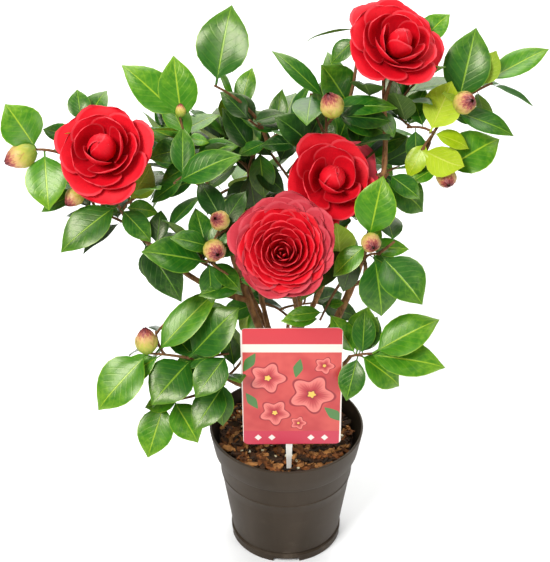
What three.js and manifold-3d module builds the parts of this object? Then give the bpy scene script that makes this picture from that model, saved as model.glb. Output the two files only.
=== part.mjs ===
// A young camellia shrub in a nursery pot: mulched soil, a plant label, a forked trunk with its
// boughs, masses of glossy leaves, four double red blooms and a dozen buds.
// Millimetres, +Z up, the front faces -Y. The origin is the centre of the pot's underside.
import * as THREE from 'three';
import Module from 'manifold-3d';
import { mergeVertices } from 'three/addons/utils/BufferGeometryUtils.js';

const wasm = await Module();
wasm.setup();

// ---- driving dimensions ----------------------------------------------------------------------

const GAP = 0.3;                                  // clear space between neighbouring solids

const POT = { height: 131, rimRadius: 75, footRadius: 56, collar: 27, step: 3.2, wall: 2.2,
  floor: 3, footRing: 5, notches: 4, notchWidth: 26, notchHeight: 4.5, sides: 30 };
const SOIL = { top: 122, dome: 3, chips: 12, chipReach: 58, sides: 26 };
const LABEL = { width: 90, height: 128, thick: 1.2, corner: 5, x: 4, y: -58, foot: 152, roll: 0.6 };
const STAKE = { width: 7.5, thick: 2, depth: 24, head: 12, headHeight: 5 };

const FORK = [1, 0, 174];                         // where the trunk parts into its boughs
const TRUNK = { radius: 6.5, top: 5.2, flare: 1.55, flareHeight: 12, lean: -3 };

const LEAF = { widthShare: 0.52, petiole: 0.15, broad: 0.5, droop: 0.07, fold: 0.34, thick: 0.018,
  lean: 10, clearFoot: 7 };
const TWIG = { tip: 1.25, growth: 0.011, step: 26, internode: 6.5, sway: 0.07, foot: 12, clearOfBough: 7 };
const BUD = { share: 0.78, sides: 6 };
const BLOOM = { petals: [8, 6], reach: [1, 0.66], tilt: [14, 46], notch: 0.84, core: 0.26 };

const DIAL_TILT = 26;                             // the leaf dial leans back from upright, degrees
const GOLDEN = 137.5;                             // turn from one leaf to the next, degrees
const SEED = 2901;

// Boughs: the limb each leaves, how far along it, the tip, the bow of the middle, and the radii.
const BOUGHS = {
  bough_left: { from: 'trunk', at: 0.97, tip: [-59, -10, 372], bow: [-6, -4, 6], radii: [4.4, 2.6] },
  bough_far_left: { from: 'bough_left', at: 0.5, tip: [-129, -22, 353], bow: [2, -8, -8], radii: [3, 2] },
  bough_left_front: { from: 'bough_left', at: 0.62, tip: [-64, -44, 338], bow: [0, -6, -4], radii: [2.4, 1.7] },
  bough_centre: { from: 'trunk', at: 1, tip: [-35, 28, 372], bow: [-8, 0, 0], radii: [2.8, 1.8] },
  bough_front: { from: 'bough_mid', at: 0.36, tip: [-2, -46, 330], bow: [4, -4, -6], radii: [2.6, 1.9] },
  bough_mid: { from: 'trunk', at: 1, tip: [32, -18, 387], bow: [-4, 4, 4], radii: [3.8, 2.2] },
  bough_right: { from: 'trunk', at: 0.93, tip: [80, -15, 396], bow: [9, -4, -14], radii: [4.6, 2.7] },
  bough_right_front: { from: 'bough_right', at: 0.62, tip: [66, -46, 338], bow: [4, -2, -4], radii: [2.2, 1.7] },
  bough_upright: { from: 'bough_right', at: 1, tip: [79, -8, 466], bow: [2, 0, 0], radii: [2.5, 2] },
  bough_outer_right: { from: 'bough_right', at: 0.94, tip: [119, -4, 432], bow: [5, 0, -4], radii: [2.3, 1.8] },
  bough_low_left: { from: 'trunk', at: 0.8, tip: [-74, -42, 232], bow: [-4, -2, -6], radii: [2.9, 1.9] },
  bough_low_right: { from: 'trunk', at: 0.86, tip: [56, -50, 244], bow: [4, -4, -5], radii: [2.7, 1.9] },
  bough_back_left: { from: 'bough_centre', at: 0.28, tip: [-62, 72, 330], bow: [-4, 8, -6], radii: [2.5, 1.9] },
  bough_back_right: { from: 'bough_mid', at: 0.24, tip: [62, 74, 338], bow: [6, 10, -8], radii: [2.8, 1.9] },
  bough_back_top: { from: 'bough_mid', at: 0.55, tip: [8, 60, 356], bow: [0, 8, -4], radii: [2.2, 1.7] },
  bough_back_low: { from: 'trunk', at: 0.88, tip: [2, 62, 214], bow: [0, 4, -8], radii: [2.4, 1.8] },
  bough_back_mid: { from: 'bough_centre', at: 0.45, tip: [-12, 46, 292], bow: [0, 4, -6], radii: [2, 1.6] },
};

// Masses of foliage: the bough each grows from, how many back shoots it has, the radius of the
// space it may fill, and its front shoots. A shoot has its tip and its leaves, each as
// [hour on the dial, length, width, lean towards the front, roll about its midrib]. The first
// shoot is the stem of the mass. A roll of 180 shows the underside. Buds are [hour, size, lean].
const MASSES = {
  mass_far_left: { bough: 'bough_far_left', back: 1, room: 104, shoots: [
    { tip: [-142, -40, 392], leaves: [[7.8, 62, 34, 14], [4.5, 38, 22], [9, 34, 18, -20]] },
    { tip: [-134, -34, 391], leaves: [[1.2, 40, 27, 14, 180], [3.2, 30, 18, -14]] },
    { tip: [-172, -38, 404], leaves: [[8.2, 40, 17, 0]], buds: [[7.4, 20, 30]] },
    { tip: [-172, -8, 452], leaves: [[11.7, 30, 20, -10], [0.9, 44, 22, -16], [9.6, 38, 18, -20]] },
    { tip: [-208, -30, 437], leaves: [[11, 44, 38, 16], [5.8, 50, 36, 18], [1.9, 28, 15, 10, 60],
      [3.9, 36, 18, -16]], buds: [[8.2, 28, 10]] },
  ] },
  mass_top_left: { bough: 'bough_left', back: 5, room: 98, shoots: [
    { tip: [-82, -6, 428], leaves: [[8.7, 37, 27, 24], [2.5, 38, 20, 0], [8, 36, 19, 16],
      [1.2, 34, 22, -10]] },
    { tip: [-90, -8, 456], leaves: [[10.5, 64, 36, 14], [11.8, 57, 34, 12], [9.2, 44, 19, 16, 60],
      [3.2, 20, 13, -10], [9.8, 42, 20, -24], [11.15, 54, 24, -20]], buds: [[0.1, 12, 0]] },
    { tip: [-94, -46, 414], leaves: [[2.1, 60, 29, 18], [2.2, 56, 23, -8], [0, 44, 21, -6],
      [7.9, 40, 18, -14]] },
  ] },
  mass_centre_top: { bough: 'bough_centre', back: 5, room: 112, shoots: [
    { tip: [-30, 26, 408], leaves: [[10.9, 48, 25, 10], [9.7, 42, 21, 14], [4.2, 42, 24, -14],
      [5.7, 44, 24, -18], [7, 40, 22, -18], [11.6, 40, 20, -20]] },
    { tip: [-6, 32, 425], leaves: [[9.9, 42, 21, 10], [0.3, 42, 18, 8], [8.2, 30, 15, 16],
      [10.1, 36, 19, -12, 180], [5.8, 46, 24, -16], [11, 40, 20, -22]] },
    { tip: [22, 4, 424], leaves: [[10.4, 42, 31, 22], [0.8, 34, 17, -16], [9, 34, 18, 0]] },
    { tip: [-61, 0, 481], leaves: [[0.35, 67, 46, 8]] },
    { tip: [-33, 10, 446], leaves: [[10.6, 34, 20, 10], [2.4, 30, 16, -10], [10.9, 36, 20, -12],
      [2.6, 36, 18, -16]] },
  ] },
  mass_left_mid: { bough: 'bough_left_front', back: 5, room: 92, shoots: [
    { tip: [-68, -58, 346], leaves: [[9.45, 58, 34, 24], [5.9, 38, 20, -6], [4.4, 36, 19, 10]] },
    { tip: [-125, -42, 359], leaves: [[4.8, 62, 32, 16], [5.8, 38, 24, -14], [0.2, 32, 18, -14]] },
    { tip: [-36, -52, 322], leaves: [[8.6, 42, 22, 16], [3.2, 24, 12, 4], [7.9, 36, 17, -16]] },
    { tip: [-64, -58, 361], leaves: [[9.6, 38, 22, 30], [0.9, 40, 20, 8], [11.5, 46, 23, -14],
      [2, 42, 21, -16]], buds: [[4.4, 24, 70]] },
    { tip: [-54, -50, 380], leaves: [[11, 44, 22, -18], [1.2, 40, 20, -20]], buds: [[10, 21, 70]] },
  ] },
  mass_low_left: { bough: 'bough_low_left', back: 2, room: 104, shoots: [
    { tip: [-88, -58, 248], leaves: [[1.4, 66, 42, 16], [7.5, 54, 43, 26], [10.6, 40, 22, -14]] },
    { tip: [-123, -64, 257], leaves: [[7.5, 66, 42, 10], [1.4, 80, 32, 4], [7.9, 62, 28, -14]],
      buds: [[11.9, 25, 16]] },
    { tip: [-52, -60, 254], leaves: [[7.3, 48, 31, 18], [0.5, 22, 12, 0], [8.6, 40, 18, -10]] },
    { tip: [-56, -54, 216], leaves: [[7.2, 50, 31, 22], [5.8, 46, 25, -4], [8.6, 44, 22, -12]] },
    { tip: [-112, -52, 196], leaves: [[6.6, 54, 34, 10], [4.9, 45, 32, 14], [8.4, 34, 22, -6]] },
  ] },
  mass_low_right: { bough: 'bough_low_right', back: 1, room: 84, shoots: [
    { tip: [74, -64, 257], leaves: [[1.98, 66, 38, 10], [3.15, 70, 35, 16], [4.2, 50, 34, -10],
      [0.5, 46, 30, -14], [10.9, 42, 22, -8]] },
    { tip: [66, -58, 250], leaves: [[0.1, 42, 22, 6], [6.5, 42, 25, 6], [0.9, 40, 24, -14]] },
  ] },
  mass_right_mid: { bough: 'bough_right_front', back: 3, room: 94, shoots: [
    { tip: [67, -60, 370], leaves: [[0.35, 54, 36, 18], [7.6, 40, 21, 0], [3, 38, 19, -8],
      [1.2, 26, 13, -20]], buds: [[5.4, 21, 70]] },
    { tip: [77, -62, 356], leaves: [[4.6, 56, 40, 28], [5.7, 56, 37, -6], [4.0, 38, 22, -20]] },
    { tip: [52, -48, 354], leaves: [[7.6, 52, 25, 0], [6.6, 40, 20, -14]] },
    { tip: [29, -38, 275], leaves: [[9, 36, 15, 10], [8.7, 36, 15, -6], [2.6, 14, 9, 10]] },
  ] },
  mass_right_inner: { bough: 'bough_right', back: 3, room: 86, shoots: [
    { tip: [84, -24, 412], leaves: [[4.2, 34, 21, 16], [4.25, 46, 36, -10], [3.3, 34, 17, 0]] },
  ] },
  mass_right_top: { bough: 'bough_outer_right', back: 1, room: 115, shoots: [
    { tip: [141, -4, 466], leaves: [[0.38, 64, 40, 10], [3.65, 55, 24, 10], [3, 34, 18, -20]],
      buds: [[2.6, 24, 70]] },
    { tip: [118, -12, 444], leaves: [[0.75, 46, 34, 10, 180], [3.6, 34, 18, 0]] },
    { tip: [101, 8, 440], leaves: [[0.75, 36, 23, 4], [6, 34, 18, 10], [11.4, 30, 17, -10]] },
    { tip: [112, -12, 428], leaves: [[3.9, 39, 32, 14, 180], [7, 34, 19, 0]] },
    { tip: [133, -10, 408], leaves: [[1.75, 54, 42, 12], [7.8, 28, 15, 0]], buds: [[5.8, 22, 55]] },
    { tip: [161, 0, 484], leaves: [[1.75, 68, 23, 4], [0.9, 34, 22, 14, 180], [8.8, 26, 16, 10, 180]] },
  ] },
  mass_top: { bough: 'bough_mid', back: 4, room: 88, shoots: [
    { tip: [31, -2, 471], leaves: [[10.5, 60, 18, 4], [3.1, 60, 22, 10], [1.2, 36, 20, -20]] },
    { tip: [52, 5, 460], leaves: [[10.9, 44, 38, 24], [11.6, 56, 22, -12], [3.5, 46, 26, -6]] },
    { tip: [38, -20, 463], leaves: [[3.1, 48, 24, -6]], buds: [[11.3, 25, 44]] },
    { tip: [54, 10, 414], leaves: [[2.35, 52, 26, 10], [10.8, 34, 18, -14]] },
    { tip: [56, 12, 527], leaves: [[8.8, 44, 13, -4, 60], [7.6, 30, 18, -10]] },
  ] },
  mass_high_right: { bough: 'bough_upright', back: 1, room: 80, shoots: [
    { tip: [104, 8, 512], leaves: [[1.45, 39, 23, 4], [8.6, 30, 17, -10]] },
    { tip: [76, -6, 462], leaves: [[5, 26, 15, 0], [8.4, 28, 16, -6]] },
  ] },
  mass_back_left: { bough: 'bough_back_left', back: 5, room: 110, shoots: [
    { tip: [-92, 84, 366], leaves: [[10, 50, 27], [1.4, 44, 24], [8.4, 46, 24, -30]] },
    { tip: [-48, 88, 384], leaves: [[11.6, 48, 26], [9.2, 44, 24, -30], [2.4, 44, 22]] },
  ] },
  mass_back_right: { bough: 'bough_back_right', back: 5, room: 110, shoots: [
    { tip: [88, 86, 368], leaves: [[2, 50, 27], [11, 44, 24], [3.8, 46, 24, -30]] },
    { tip: [44, 92, 376], leaves: [[0.6, 48, 26], [3, 44, 24, -30], [9.8, 44, 22]] },
  ] },
  mass_back_top: { bough: 'bough_back_top', back: 4, room: 88, shoots: [
    { tip: [-12, 66, 384], leaves: [[10.6, 46, 24], [0.8, 44, 23], [8.6, 42, 22, -30]] },
    { tip: [30, 66, 386], leaves: [[0.4, 44, 24], [2.6, 42, 22, -30]] },
  ] },
  mass_back_low: { bough: 'bough_back_low', back: 4, room: 99, shoots: [
    { tip: [-26, 74, 224], leaves: [[8.4, 44, 24], [9.8, 44, 24, -30]] },
    { tip: [32, 76, 222], leaves: [[3.6, 44, 24], [2.4, 44, 24, -30]] },
  ] },
  mass_back_mid: { bough: 'bough_back_mid', back: 5, room: 92, shoots: [
    { tip: [-26, 54, 312], leaves: [[9.4, 44, 24], [7.6, 42, 22, -30], [11, 40, 22]] },
    { tip: [6, 56, 304], leaves: [[2.8, 44, 24], [4.4, 42, 22, -30], [0.6, 40, 22]] },
  ] },
};

// Blooms: the limb each flowering twig leaves, how far along it, the flower's centre, its radius
// and where it faces on the dial as [hour, lean towards the front].
const BLOOMS = {
  bloom_left: { from: 'bough_far_left', at: 0.93, centre: [-151, -45, 445], radius: 42, faces: [11.5, 74] },
  bloom_centre: { from: 'bough_front', at: 1, centre: [-5, -82, 376], radius: 42.5, faces: [11, 80] },
  bloom_right: { from: 'bough_mid', at: 0.92, centre: [37, -36, 414], radius: 39.5, faces: [1.4, 72] },
  bloom_top: { from: 'bough_upright', at: 0.94, centre: [87, -14, 528], radius: 39.5, faces: [1, 62] },
};

// ---- materials -------------------------------------------------------------------------------

const finish = (color, roughness) => new THREE.MeshStandardMaterial({ color, roughness, metalness: 0 });
const FINISH = {
  plastic: finish(0x4b443c, 0.45), mulch: finish(0x6a4024, 0.9), bark: finish(0x6e5238, 0.8),
  leaf: finish(0x24682c, 0.35), petal: finish(0xc4142a, 0.55), card: finish(0xc93a48, 0.4),
  stake: finish(0xe9e4da, 0.5),
};

// ---- small helpers ---------------------------------------------------------------------------

const vec = (p) => new THREE.Vector3(...p);
const rad = THREE.MathUtils.degToRad;
const UP = vec([0, 0, 1]);
const ACROSS = vec([1, 0, 0]);
const DIAL_UP = vec([0, Math.sin(rad(DIAL_TILT)), Math.cos(rad(DIAL_TILT))]);
const TO_FRONT = vec([0, -Math.cos(rad(DIAL_TILT)), Math.sin(rad(DIAL_TILT))]);
const LIGHT = TO_FRONT.clone().add(UP).normalize();

// A small seeded generator, so the shrub grows the same each time.
let seed = 0;
const sow = (value) => { seed = value; };
function draw(low, high) {
  seed = (seed * 48271) % 2147483647;
  return low + (high - low) * (seed / 2147483647);
}

// The direction of a clock hand on the dial, leaning towards the front.
function handOfClock(hour, lean) {
  const turn = rad(hour * 30);
  const hand = ACROSS.clone().multiplyScalar(Math.sin(turn)).addScaledVector(DIAL_UP, Math.cos(turn));
  return hand.multiplyScalar(Math.cos(rad(lean))).addScaledVector(TO_FRONT, Math.sin(rad(lean)));
}

// A vector of length 1 at right angles to the first, as near as it can be to the second.
function squareTo(axis, towards) {
  const square = towards.clone().addScaledVector(axis, -towards.dot(axis));
  return square.lengthSq() > 1e-6 ? square.normalize() : squareTo(axis, ACROSS);
}

// A closed solid through rings of points, each anticlockwise seen from the far end. A ring of one
// point ends the solid in a tip.
function loft(rings) {
  const starts = rings.map((ring, i) => rings.slice(0, i).reduce((sum, r) => sum + r.length, 0));
  const faces = [];
  for (let i = 1; i < rings.length; i++) {
    const [a, b] = [starts[i - 1], starts[i]];
    const [m, n] = [rings[i - 1].length, rings[i].length];
    for (let k = 0; k < Math.max(m, n); k++) {
      const next = (k + 1) % Math.max(m, n);
      if (m > 1) faces.push([a + k, a + next, n > 1 ? b + next : b]);
      if (n > 1) faces.push(m > 1 ? [a + k, b + next, b + k] : [a, b + next, b + k]);
    }
  }
  const last = starts[rings.length - 1];
  for (let k = 2; k < rings[0].length; k++) faces.push([0, k, k - 1]);
  for (let k = 2; k < rings.at(-1).length; k++) faces.push([last, last + k - 1, last + k]);
  return solidFrom(rings.flat().flatMap((p) => [p.x, p.y, p.z]), faces.flat());
}

function solidFrom(positions, triangles) {
  return new wasm.Manifold(new wasm.Mesh({ numProp: 3,
    vertProperties: Float32Array.from(positions), triVerts: Uint32Array.from(triangles) }));
}

// A closed three.js geometry as a solid, moved by a matrix.
function solidOf(geometry, matrix = new THREE.Matrix4()) {
  const bare = geometry.clone();
  bare.deleteAttribute('normal');
  bare.deleteAttribute('uv');
  const merged = mergeVertices(bare.applyMatrix4(matrix), 1e-3);
  return solidFrom(merged.attributes.position.array, merged.index.array);
}

const union = (solids) => wasm.Manifold.union(solids);

// The largest piece of a solid, which drops the scraps that a cut leaves.
function largest(solid) {
  const pieces = solid.decompose();
  return pieces.reduce((best, piece) => (piece.volume() > best.volume() ? piece : best));
}

function geometryOf(solid) {
  const { vertProperties, triVerts } = solid.getMesh();
  const geometry = new THREE.BufferGeometry();
  geometry.setAttribute('position', new THREE.BufferAttribute(vertProperties, 3));
  geometry.setIndex(new THREE.BufferAttribute(triVerts, 1));
  return geometry;
}

// The mesh of a solid, once points closer than a thousandth of a millimetre are made one.
function meshOf(name, solid, material) {
  const geometry = geometryOf(largest(solidOf(geometryOf(solid))));
  geometry.computeVertexNormals();
  const mesh = new THREE.Mesh(geometry, material);
  mesh.name = name;
  return mesh;
}

// A round limb of changing radius along a curve. grow widens and lengthens it all round, and from
// leaves out the start of the curve.
function limb(curve, radiusAt, sides, steps, grow = 0, from = 0) {
  const rings = [];
  let side = squareTo(curve.getTangent(from), ACROSS);
  for (let i = 0; i <= steps; i++) {
    const t = from + ((1 - from) * i) / steps;
    const tangent = curve.getTangent(t);
    side = squareTo(tangent, side);
    const other = tangent.clone().cross(side);
    const end = i === 0 ? -grow : i === steps ? grow : 0;
    const centre = curve.getPoint(t).addScaledVector(tangent, end);
    rings.push(Array.from({ length: sides }, (_, k) => {
      const turn = (2 * Math.PI * k) / sides;
      const radius = radiusAt(t) + grow;
      return centre.clone().addScaledVector(side, Math.cos(turn) * radius)
        .addScaledVector(other, Math.sin(turn) * radius);
    }));
  }
  return loft(rings);
}

// A point on the straight runs that a limb or twig is built of, at a share of its length.
function pointOn({ curve, steps }, t) {
  const run = Math.min(steps - 1, Math.floor(t * steps));
  return curve.getPoint(run / steps).lerp(curve.getPoint((run + 1) / steps), t * steps - run);
}

// ---- pot, soil and label ---------------------------------------------------------------------

// Half the pot's section, as pairs of radius and height: the outside with its collar and step,
// then the inside, down to the raised floor.
function buildPot() {
  const { height, rimRadius, footRadius, collar, step, wall, floor, footRing, notchWidth } = POT;
  const slope = (rimRadius - footRadius) / height;
  const outside = (z) => footRadius + slope * z;
  const under = height - collar;
  const section = [
    [0, 0], [footRadius - 12, 0], [footRadius - 10, POT.notchHeight], [footRadius - 6, POT.notchHeight],
    [footRadius - footRing + 1, 0], [footRadius - 1, 0], [footRadius - 1, 8], [outside(10) - step, 10],
    [outside(under - 2) - step, under - 2], [outside(under) - 0.6, under],
    [rimRadius, height - 3], [rimRadius - 0.8, height], [rimRadius - wall, height],
    [outside(under) - wall - 1.2, under], [outside(under - 4) - step - wall, under - 4],
    [outside(POT.notchHeight + floor) - step - wall, POT.notchHeight + floor],
    [0, POT.notchHeight + floor],
  ];
  const shell = solidOf(new THREE.LatheGeometry(section.map(([r, z]) => new THREE.Vector2(r, z)), POT.sides),
    new THREE.Matrix4().makeRotationX(Math.PI / 2));
  const notch = new THREE.BoxGeometry(notchWidth, 14, POT.notchHeight * 2);
  const cuts = Array.from({ length: POT.notches }, (_, k) => solidOf(notch, new THREE.Matrix4()
    .makeRotationZ((k * 2 * Math.PI) / POT.notches)
    .multiply(new THREE.Matrix4().makeTranslation(0, -footRadius + footRing / 2, 0))));
  return shell.subtract(union(cuts));
}

// The soil fills the pot to a little under its rim, with chips of bark lying on its top.
function buildSoil(stakeSpace) {
  const { rimRadius, footRadius, height, step, wall, collar, floor } = POT;
  const slope = (rimRadius - footRadius) / height;
  const inside = (z) => footRadius + slope * z - step - wall - 2 * GAP;
  const bottom = POT.notchHeight + floor + GAP;
  const shoulder = height - collar - 5;
  const section = [[0, bottom], [inside(bottom) - 1, bottom], [inside(shoulder), shoulder],
    [inside(SOIL.top), SOIL.top], [inside(SOIL.top) * 0.6, SOIL.top + SOIL.dome * 0.7],
    [0, SOIL.top + SOIL.dome]];
  const parts = [solidOf(new THREE.LatheGeometry(section.map(([r, z]) => new THREE.Vector2(r, z)), SOIL.sides),
    new THREE.Matrix4().makeRotationX(Math.PI / 2))];
  sow(11);
  for (let i = 0; i < SOIL.chips; i++) {
    const turn = rad(i * GOLDEN);
    const reach = SOIL.chipReach * Math.sqrt((i + 3) / (SOIL.chips + 3));
    const chip = new THREE.BoxGeometry(draw(9, 16), draw(6, 9), draw(3, 5));
    const lie = new THREE.Euler(draw(-0.3, 0.3), draw(-0.3, 0.3), draw(0, Math.PI));
    const place = new THREE.Matrix4().compose(
      vec([Math.cos(turn) * reach, Math.sin(turn) * reach, SOIL.top + SOIL.dome * (1 - reach / 70)]),
      new THREE.Quaternion().setFromEuler(lie), vec([1, 1, 1]));
    parts.push(solidOf(chip, place));
  }
  const trunkFoot = new THREE.CylinderGeometry(TRUNK.radius * 2.1, TRUNK.radius * 2.1, 20, 24);
  const seat = solidOf(trunkFoot, new THREE.Matrix4().makeRotationX(Math.PI / 2)
    .setPosition(TRUNK.lean, 0, SOIL.top + SOIL.dome + 10));
  return largest(union(parts).subtract(seat).subtract(stakeSpace));
}

function buildCard() {
  const { width, height, corner, thick } = LABEL;
  const outline = new THREE.Shape();
  const [w, h] = [width / 2, height / 2];
  const corners = [[w, h, 0], [-w, h, 1], [-w, -h, 2], [w, -h, 3]];
  for (const [x, y, quarter] of corners) {
    outline.absarc(x - Math.sign(x) * corner, y - Math.sign(y) * corner, corner,
      (quarter * Math.PI) / 2, ((quarter + 1) * Math.PI) / 2);
  }
  const card = new THREE.ExtrudeGeometry(outline, { depth: thick, bevelEnabled: false, curveSegments: 3 });
  const stand = new THREE.Matrix4().makeTranslation(LABEL.x, LABEL.y, LABEL.foot + h)
    .multiply(new THREE.Matrix4().makeRotationY(rad(-LABEL.roll)))
    .multiply(new THREE.Matrix4().makeRotationX(Math.PI / 2));
  return solidOf(card, stand);
}

// The stake carries the card on a short cross head and stands in the soil.
function buildStake(grow = 0) {
  const back = LABEL.y + GAP + STAKE.thick / 2;
  const top = LABEL.foot + STAKE.headHeight + 12;
  const foot = SOIL.top - STAKE.depth;
  const blade = new THREE.BoxGeometry(STAKE.width + 2 * grow, STAKE.thick + 2 * grow, top - foot + 2 * grow);
  const head = new THREE.BoxGeometry(STAKE.head, STAKE.thick, STAKE.headHeight);
  return union([
    solidOf(blade, new THREE.Matrix4().makeTranslation(LABEL.x - 2, back, (top + foot) / 2)),
    solidOf(head, new THREE.Matrix4().makeTranslation(LABEL.x - 2, back, LABEL.foot + 2)),
  ]);
}

// ---- trunk and boughs ------------------------------------------------------------------------

const limbs = {};                                 // each limb's curve, solid and cleared space

function addLimb(name, curve, radiusAt, sides, steps, parent) {
  let solid = limb(curve, radiusAt, sides, steps);
  if (parent) solid = largest(solid.subtract(parent.clear));
  const clear = limb(curve, radiusAt, sides, steps, GAP);
  for (const other of Object.values(limbs)) {
    if (other !== parent) solid = largest(solid.subtract(other.clear));
  }
  limbs[name] = { curve, steps, solid, clear };
}

// A limb's curve leaves its parent on the parent's own line and bends to its tip.
function limbCurve(parent, at, tip, bow) {
  const start = pointOn(parent, at);
  const end = vec(tip);
  const middle = start.clone().lerp(end, 0.5).add(vec(bow).multiplyScalar(2));
  return new THREE.QuadraticBezierCurve3(start, middle, end);
}

function buildTrunk() {
  const foot = vec([TRUNK.lean, 0, SOIL.top + SOIL.dome + GAP]);
  const fork = vec(FORK);
  const curve = new THREE.QuadraticBezierCurve3(foot, vec([TRUNK.lean, 0, (foot.z + fork.z) / 2]), fork);
  const height = fork.z - foot.z;
  const radiusAt = (t) => {
    const flare = Math.max(0, 1 - (t * height) / TRUNK.flareHeight) ** 2;
    return THREE.MathUtils.lerp(TRUNK.radius, TRUNK.top, t) * (1 + (TRUNK.flare - 1) * flare);
  };
  addLimb('trunk', curve, radiusAt, 10, 6, null);
}

function buildBoughs() {
  const waiting = Object.entries(BOUGHS);
  while (waiting.length) {
    const [name, { from, at, tip, bow, radii }] = waiting.shift();
    if (!limbs[from]) {
      waiting.push([name, BOUGHS[name]]);
      continue;
    }
    const curve = limbCurve(limbs[from], at, tip, bow);
    const steps = Math.round(curve.getLength() / 30) + 1;
    addLimb(name, curve, (t) => THREE.MathUtils.lerp(...radii, t), 6, steps, limbs[from]);
  }
}

// ---- leaves, buds and blooms -----------------------------------------------------------------

// A leaf is a folded blade with a keel under its midrib. It starts inside its twig and droops.
function leafSolid(leaf, grow = 0) {
  const { root, along, normal, length, width } = leaf;
  const side = along.clone().cross(normal);
  const keel = Math.max(length * LEAF.thick, 0.8);
  const at = (t) => root.clone().addScaledVector(along, t * length)
    .addScaledVector(normal, -LEAF.droop * length * t * t);
  const ring = (t, half) => {
    const lift = half * LEAF.fold;
    return [at(t).addScaledVector(side, half + grow).addScaledVector(normal, lift + grow),
      at(t).addScaledVector(normal, -keel - grow),
      at(t).addScaledVector(side, -half - grow).addScaledVector(normal, lift + grow)];
  };
  return loft([[at(0)], ring(LEAF.petiole, 0.8), ring(LEAF.broad, width / 2), [at(1)]]);
}

// A bud is a pointed egg on its twig.
function budSolid(bud, grow = 0) {
  const { root, along, length, width } = bud;
  const side = squareTo(along, UP);
  const other = along.clone().cross(side);
  const ring = (t, half) => Array.from({ length: BUD.sides }, (_, k) => {
    const turn = (2 * Math.PI * k) / BUD.sides;
    return root.clone().addScaledVector(along, t * length)
      .addScaledVector(side, Math.cos(turn) * (half + grow))
      .addScaledVector(other, Math.sin(turn) * (half + grow));
  });
  return loft([[root.clone().addScaledVector(along, -1)], ring(0.16, width * 0.3),
    ring(0.45, width / 2), ring(0.75, width * 0.36), [root.clone().addScaledVector(along, length)]]);
}

// A bloom is nested cups of petals round a low heart, opening towards its facing.
function bloomSolid({ centre, radius, faces }, stem) {
  const facing = handOfClock(...faces);
  const side = squareTo(facing, UP);
  const back = vec(centre).addScaledVector(facing, -radius * 0.3);
  const cups = BLOOM.petals.map((petals, row) => petalCup(back, facing,
    side.clone().applyAxisAngle(facing, row * 0.4), petals, radius * BLOOM.reach[row], BLOOM.tilt[row]));
  const heart = budSolid({ root: back.clone().addScaledVector(facing, -radius * 0.25), along: facing,
    length: radius * 0.85, width: radius * BLOOM.core * 2 });
  return union([...cups, heart, stem]);
}

// One ring of petals as a dish whose rim dips between each petal and the next.
function petalCup(back, facing, side, petals, reach, tilt) {
  const other = facing.clone().cross(side);
  const rise = Math.sin(rad(tilt));
  const spread = Math.cos(rad(tilt));
  const ring = (share, lift) => Array.from({ length: petals * 2 }, (_, k) => {
    const turn = (Math.PI * k) / petals;
    const out = reach * share * (k % 2 && share > 0.9 ? BLOOM.notch : 1);
    return back.clone().addScaledVector(facing, out * rise + lift)
      .addScaledVector(side, Math.cos(turn) * out * spread)
      .addScaledVector(other, Math.sin(turn) * out * spread);
  });
  const thick = reach * 0.07;
  return loft([[back.clone().addScaledVector(facing, -thick)], ring(1, -thick), ring(1, thick * 0.4),
    ring(0.55, 0), [back.clone()]]);
}

// ---- growth ----------------------------------------------------------------------------------

const placed = [];                                // every small part so far, with its owner and box

function boxOf(solid) {
  const { min, max } = solid.boundingBox();
  return new THREE.Box3(vec(min), vec(max));
}

function keep(owner, solid) {
  placed.push({ owner, solid, box: boxOf(solid) });
}

// What a part would touch: nothing, only its own mass, or something else. Its foot may lie in its
// own mass, so only its outer stretch is held against that.
function touches(mass, whole, outer = whole) {
  const box = boxOf(whole);
  let own = false;
  for (const other of placed) {
    if (other.owner === mass.bough || !box.intersectsBox(other.box)) continue;
    if (other.owner === mass.name && other.twig) continue;
    const tested = other.owner === mass.name ? outer : whole;
    if (tested.intersect(other.solid).isEmpty()) continue;
    if (other.owner !== mass.name) return 'other';
    own = true;
  }
  return own ? 'own' : 'nothing';
}

// A leaf is tried as it is, then tipped and swung a little to each side, and skipped if it is never
// clear. A chosen leaf may still cross a leaf of its own mass, once it has been tried a few times.
// Pairs of tip and swing, degrees.
const TRIES = [[0, 0], [9, 0], [-9, 0], [0, 7], [0, -7], [18, 0], [-18, 0], [12, 8], [-12, -8],
  [27, 0], [-27, 0], [12, -9], [-12, 9], [36, 0], [-36, 0], [24, 12], [-24, -12]];
const PATIENCE = 3;

function placeLeaf(mass, leaf, chosen) {
  const axis = leaf.along.clone().cross(leaf.normal);
  const room = chosen ? mass.room : mass.room - BACK.margin;
  let crowded = null;
  for (const [k, [tip, swing]] of TRIES.entries()) {
    if (chosen && crowded && k >= PATIENCE) break;
    const turn = (v) => v.clone().applyAxisAngle(axis, rad(tip)).applyAxisAngle(leaf.normal, rad(swing));
    const turned = { ...leaf, along: turn(leaf.along), normal: turn(leaf.normal) };
    if (turned.root.clone().addScaledVector(turned.along, leaf.length).distanceTo(mass.middle) > room) {
      continue;
    }
    const blade = { ...turned, root: turned.root.clone().addScaledVector(turned.along, LEAF.clearFoot),
      length: leaf.length - LEAF.clearFoot };
    const found = touches(mass, leafSolid(turned, GAP), leafSolid(blade, GAP));
    if (found === 'nothing') return keepPart(mass, leafSolid(turned));
    if (found === 'own') crowded ??= turned;
  }
  return crowded && chosen ? keepPart(mass, leafSolid(crowded)) : false;
}

function keepPart(mass, solid, twig = false) {
  placed.push({ owner: mass.name, solid, box: boxOf(solid), twig });
  mass.parts.push(solid);
  return true;
}

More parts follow.
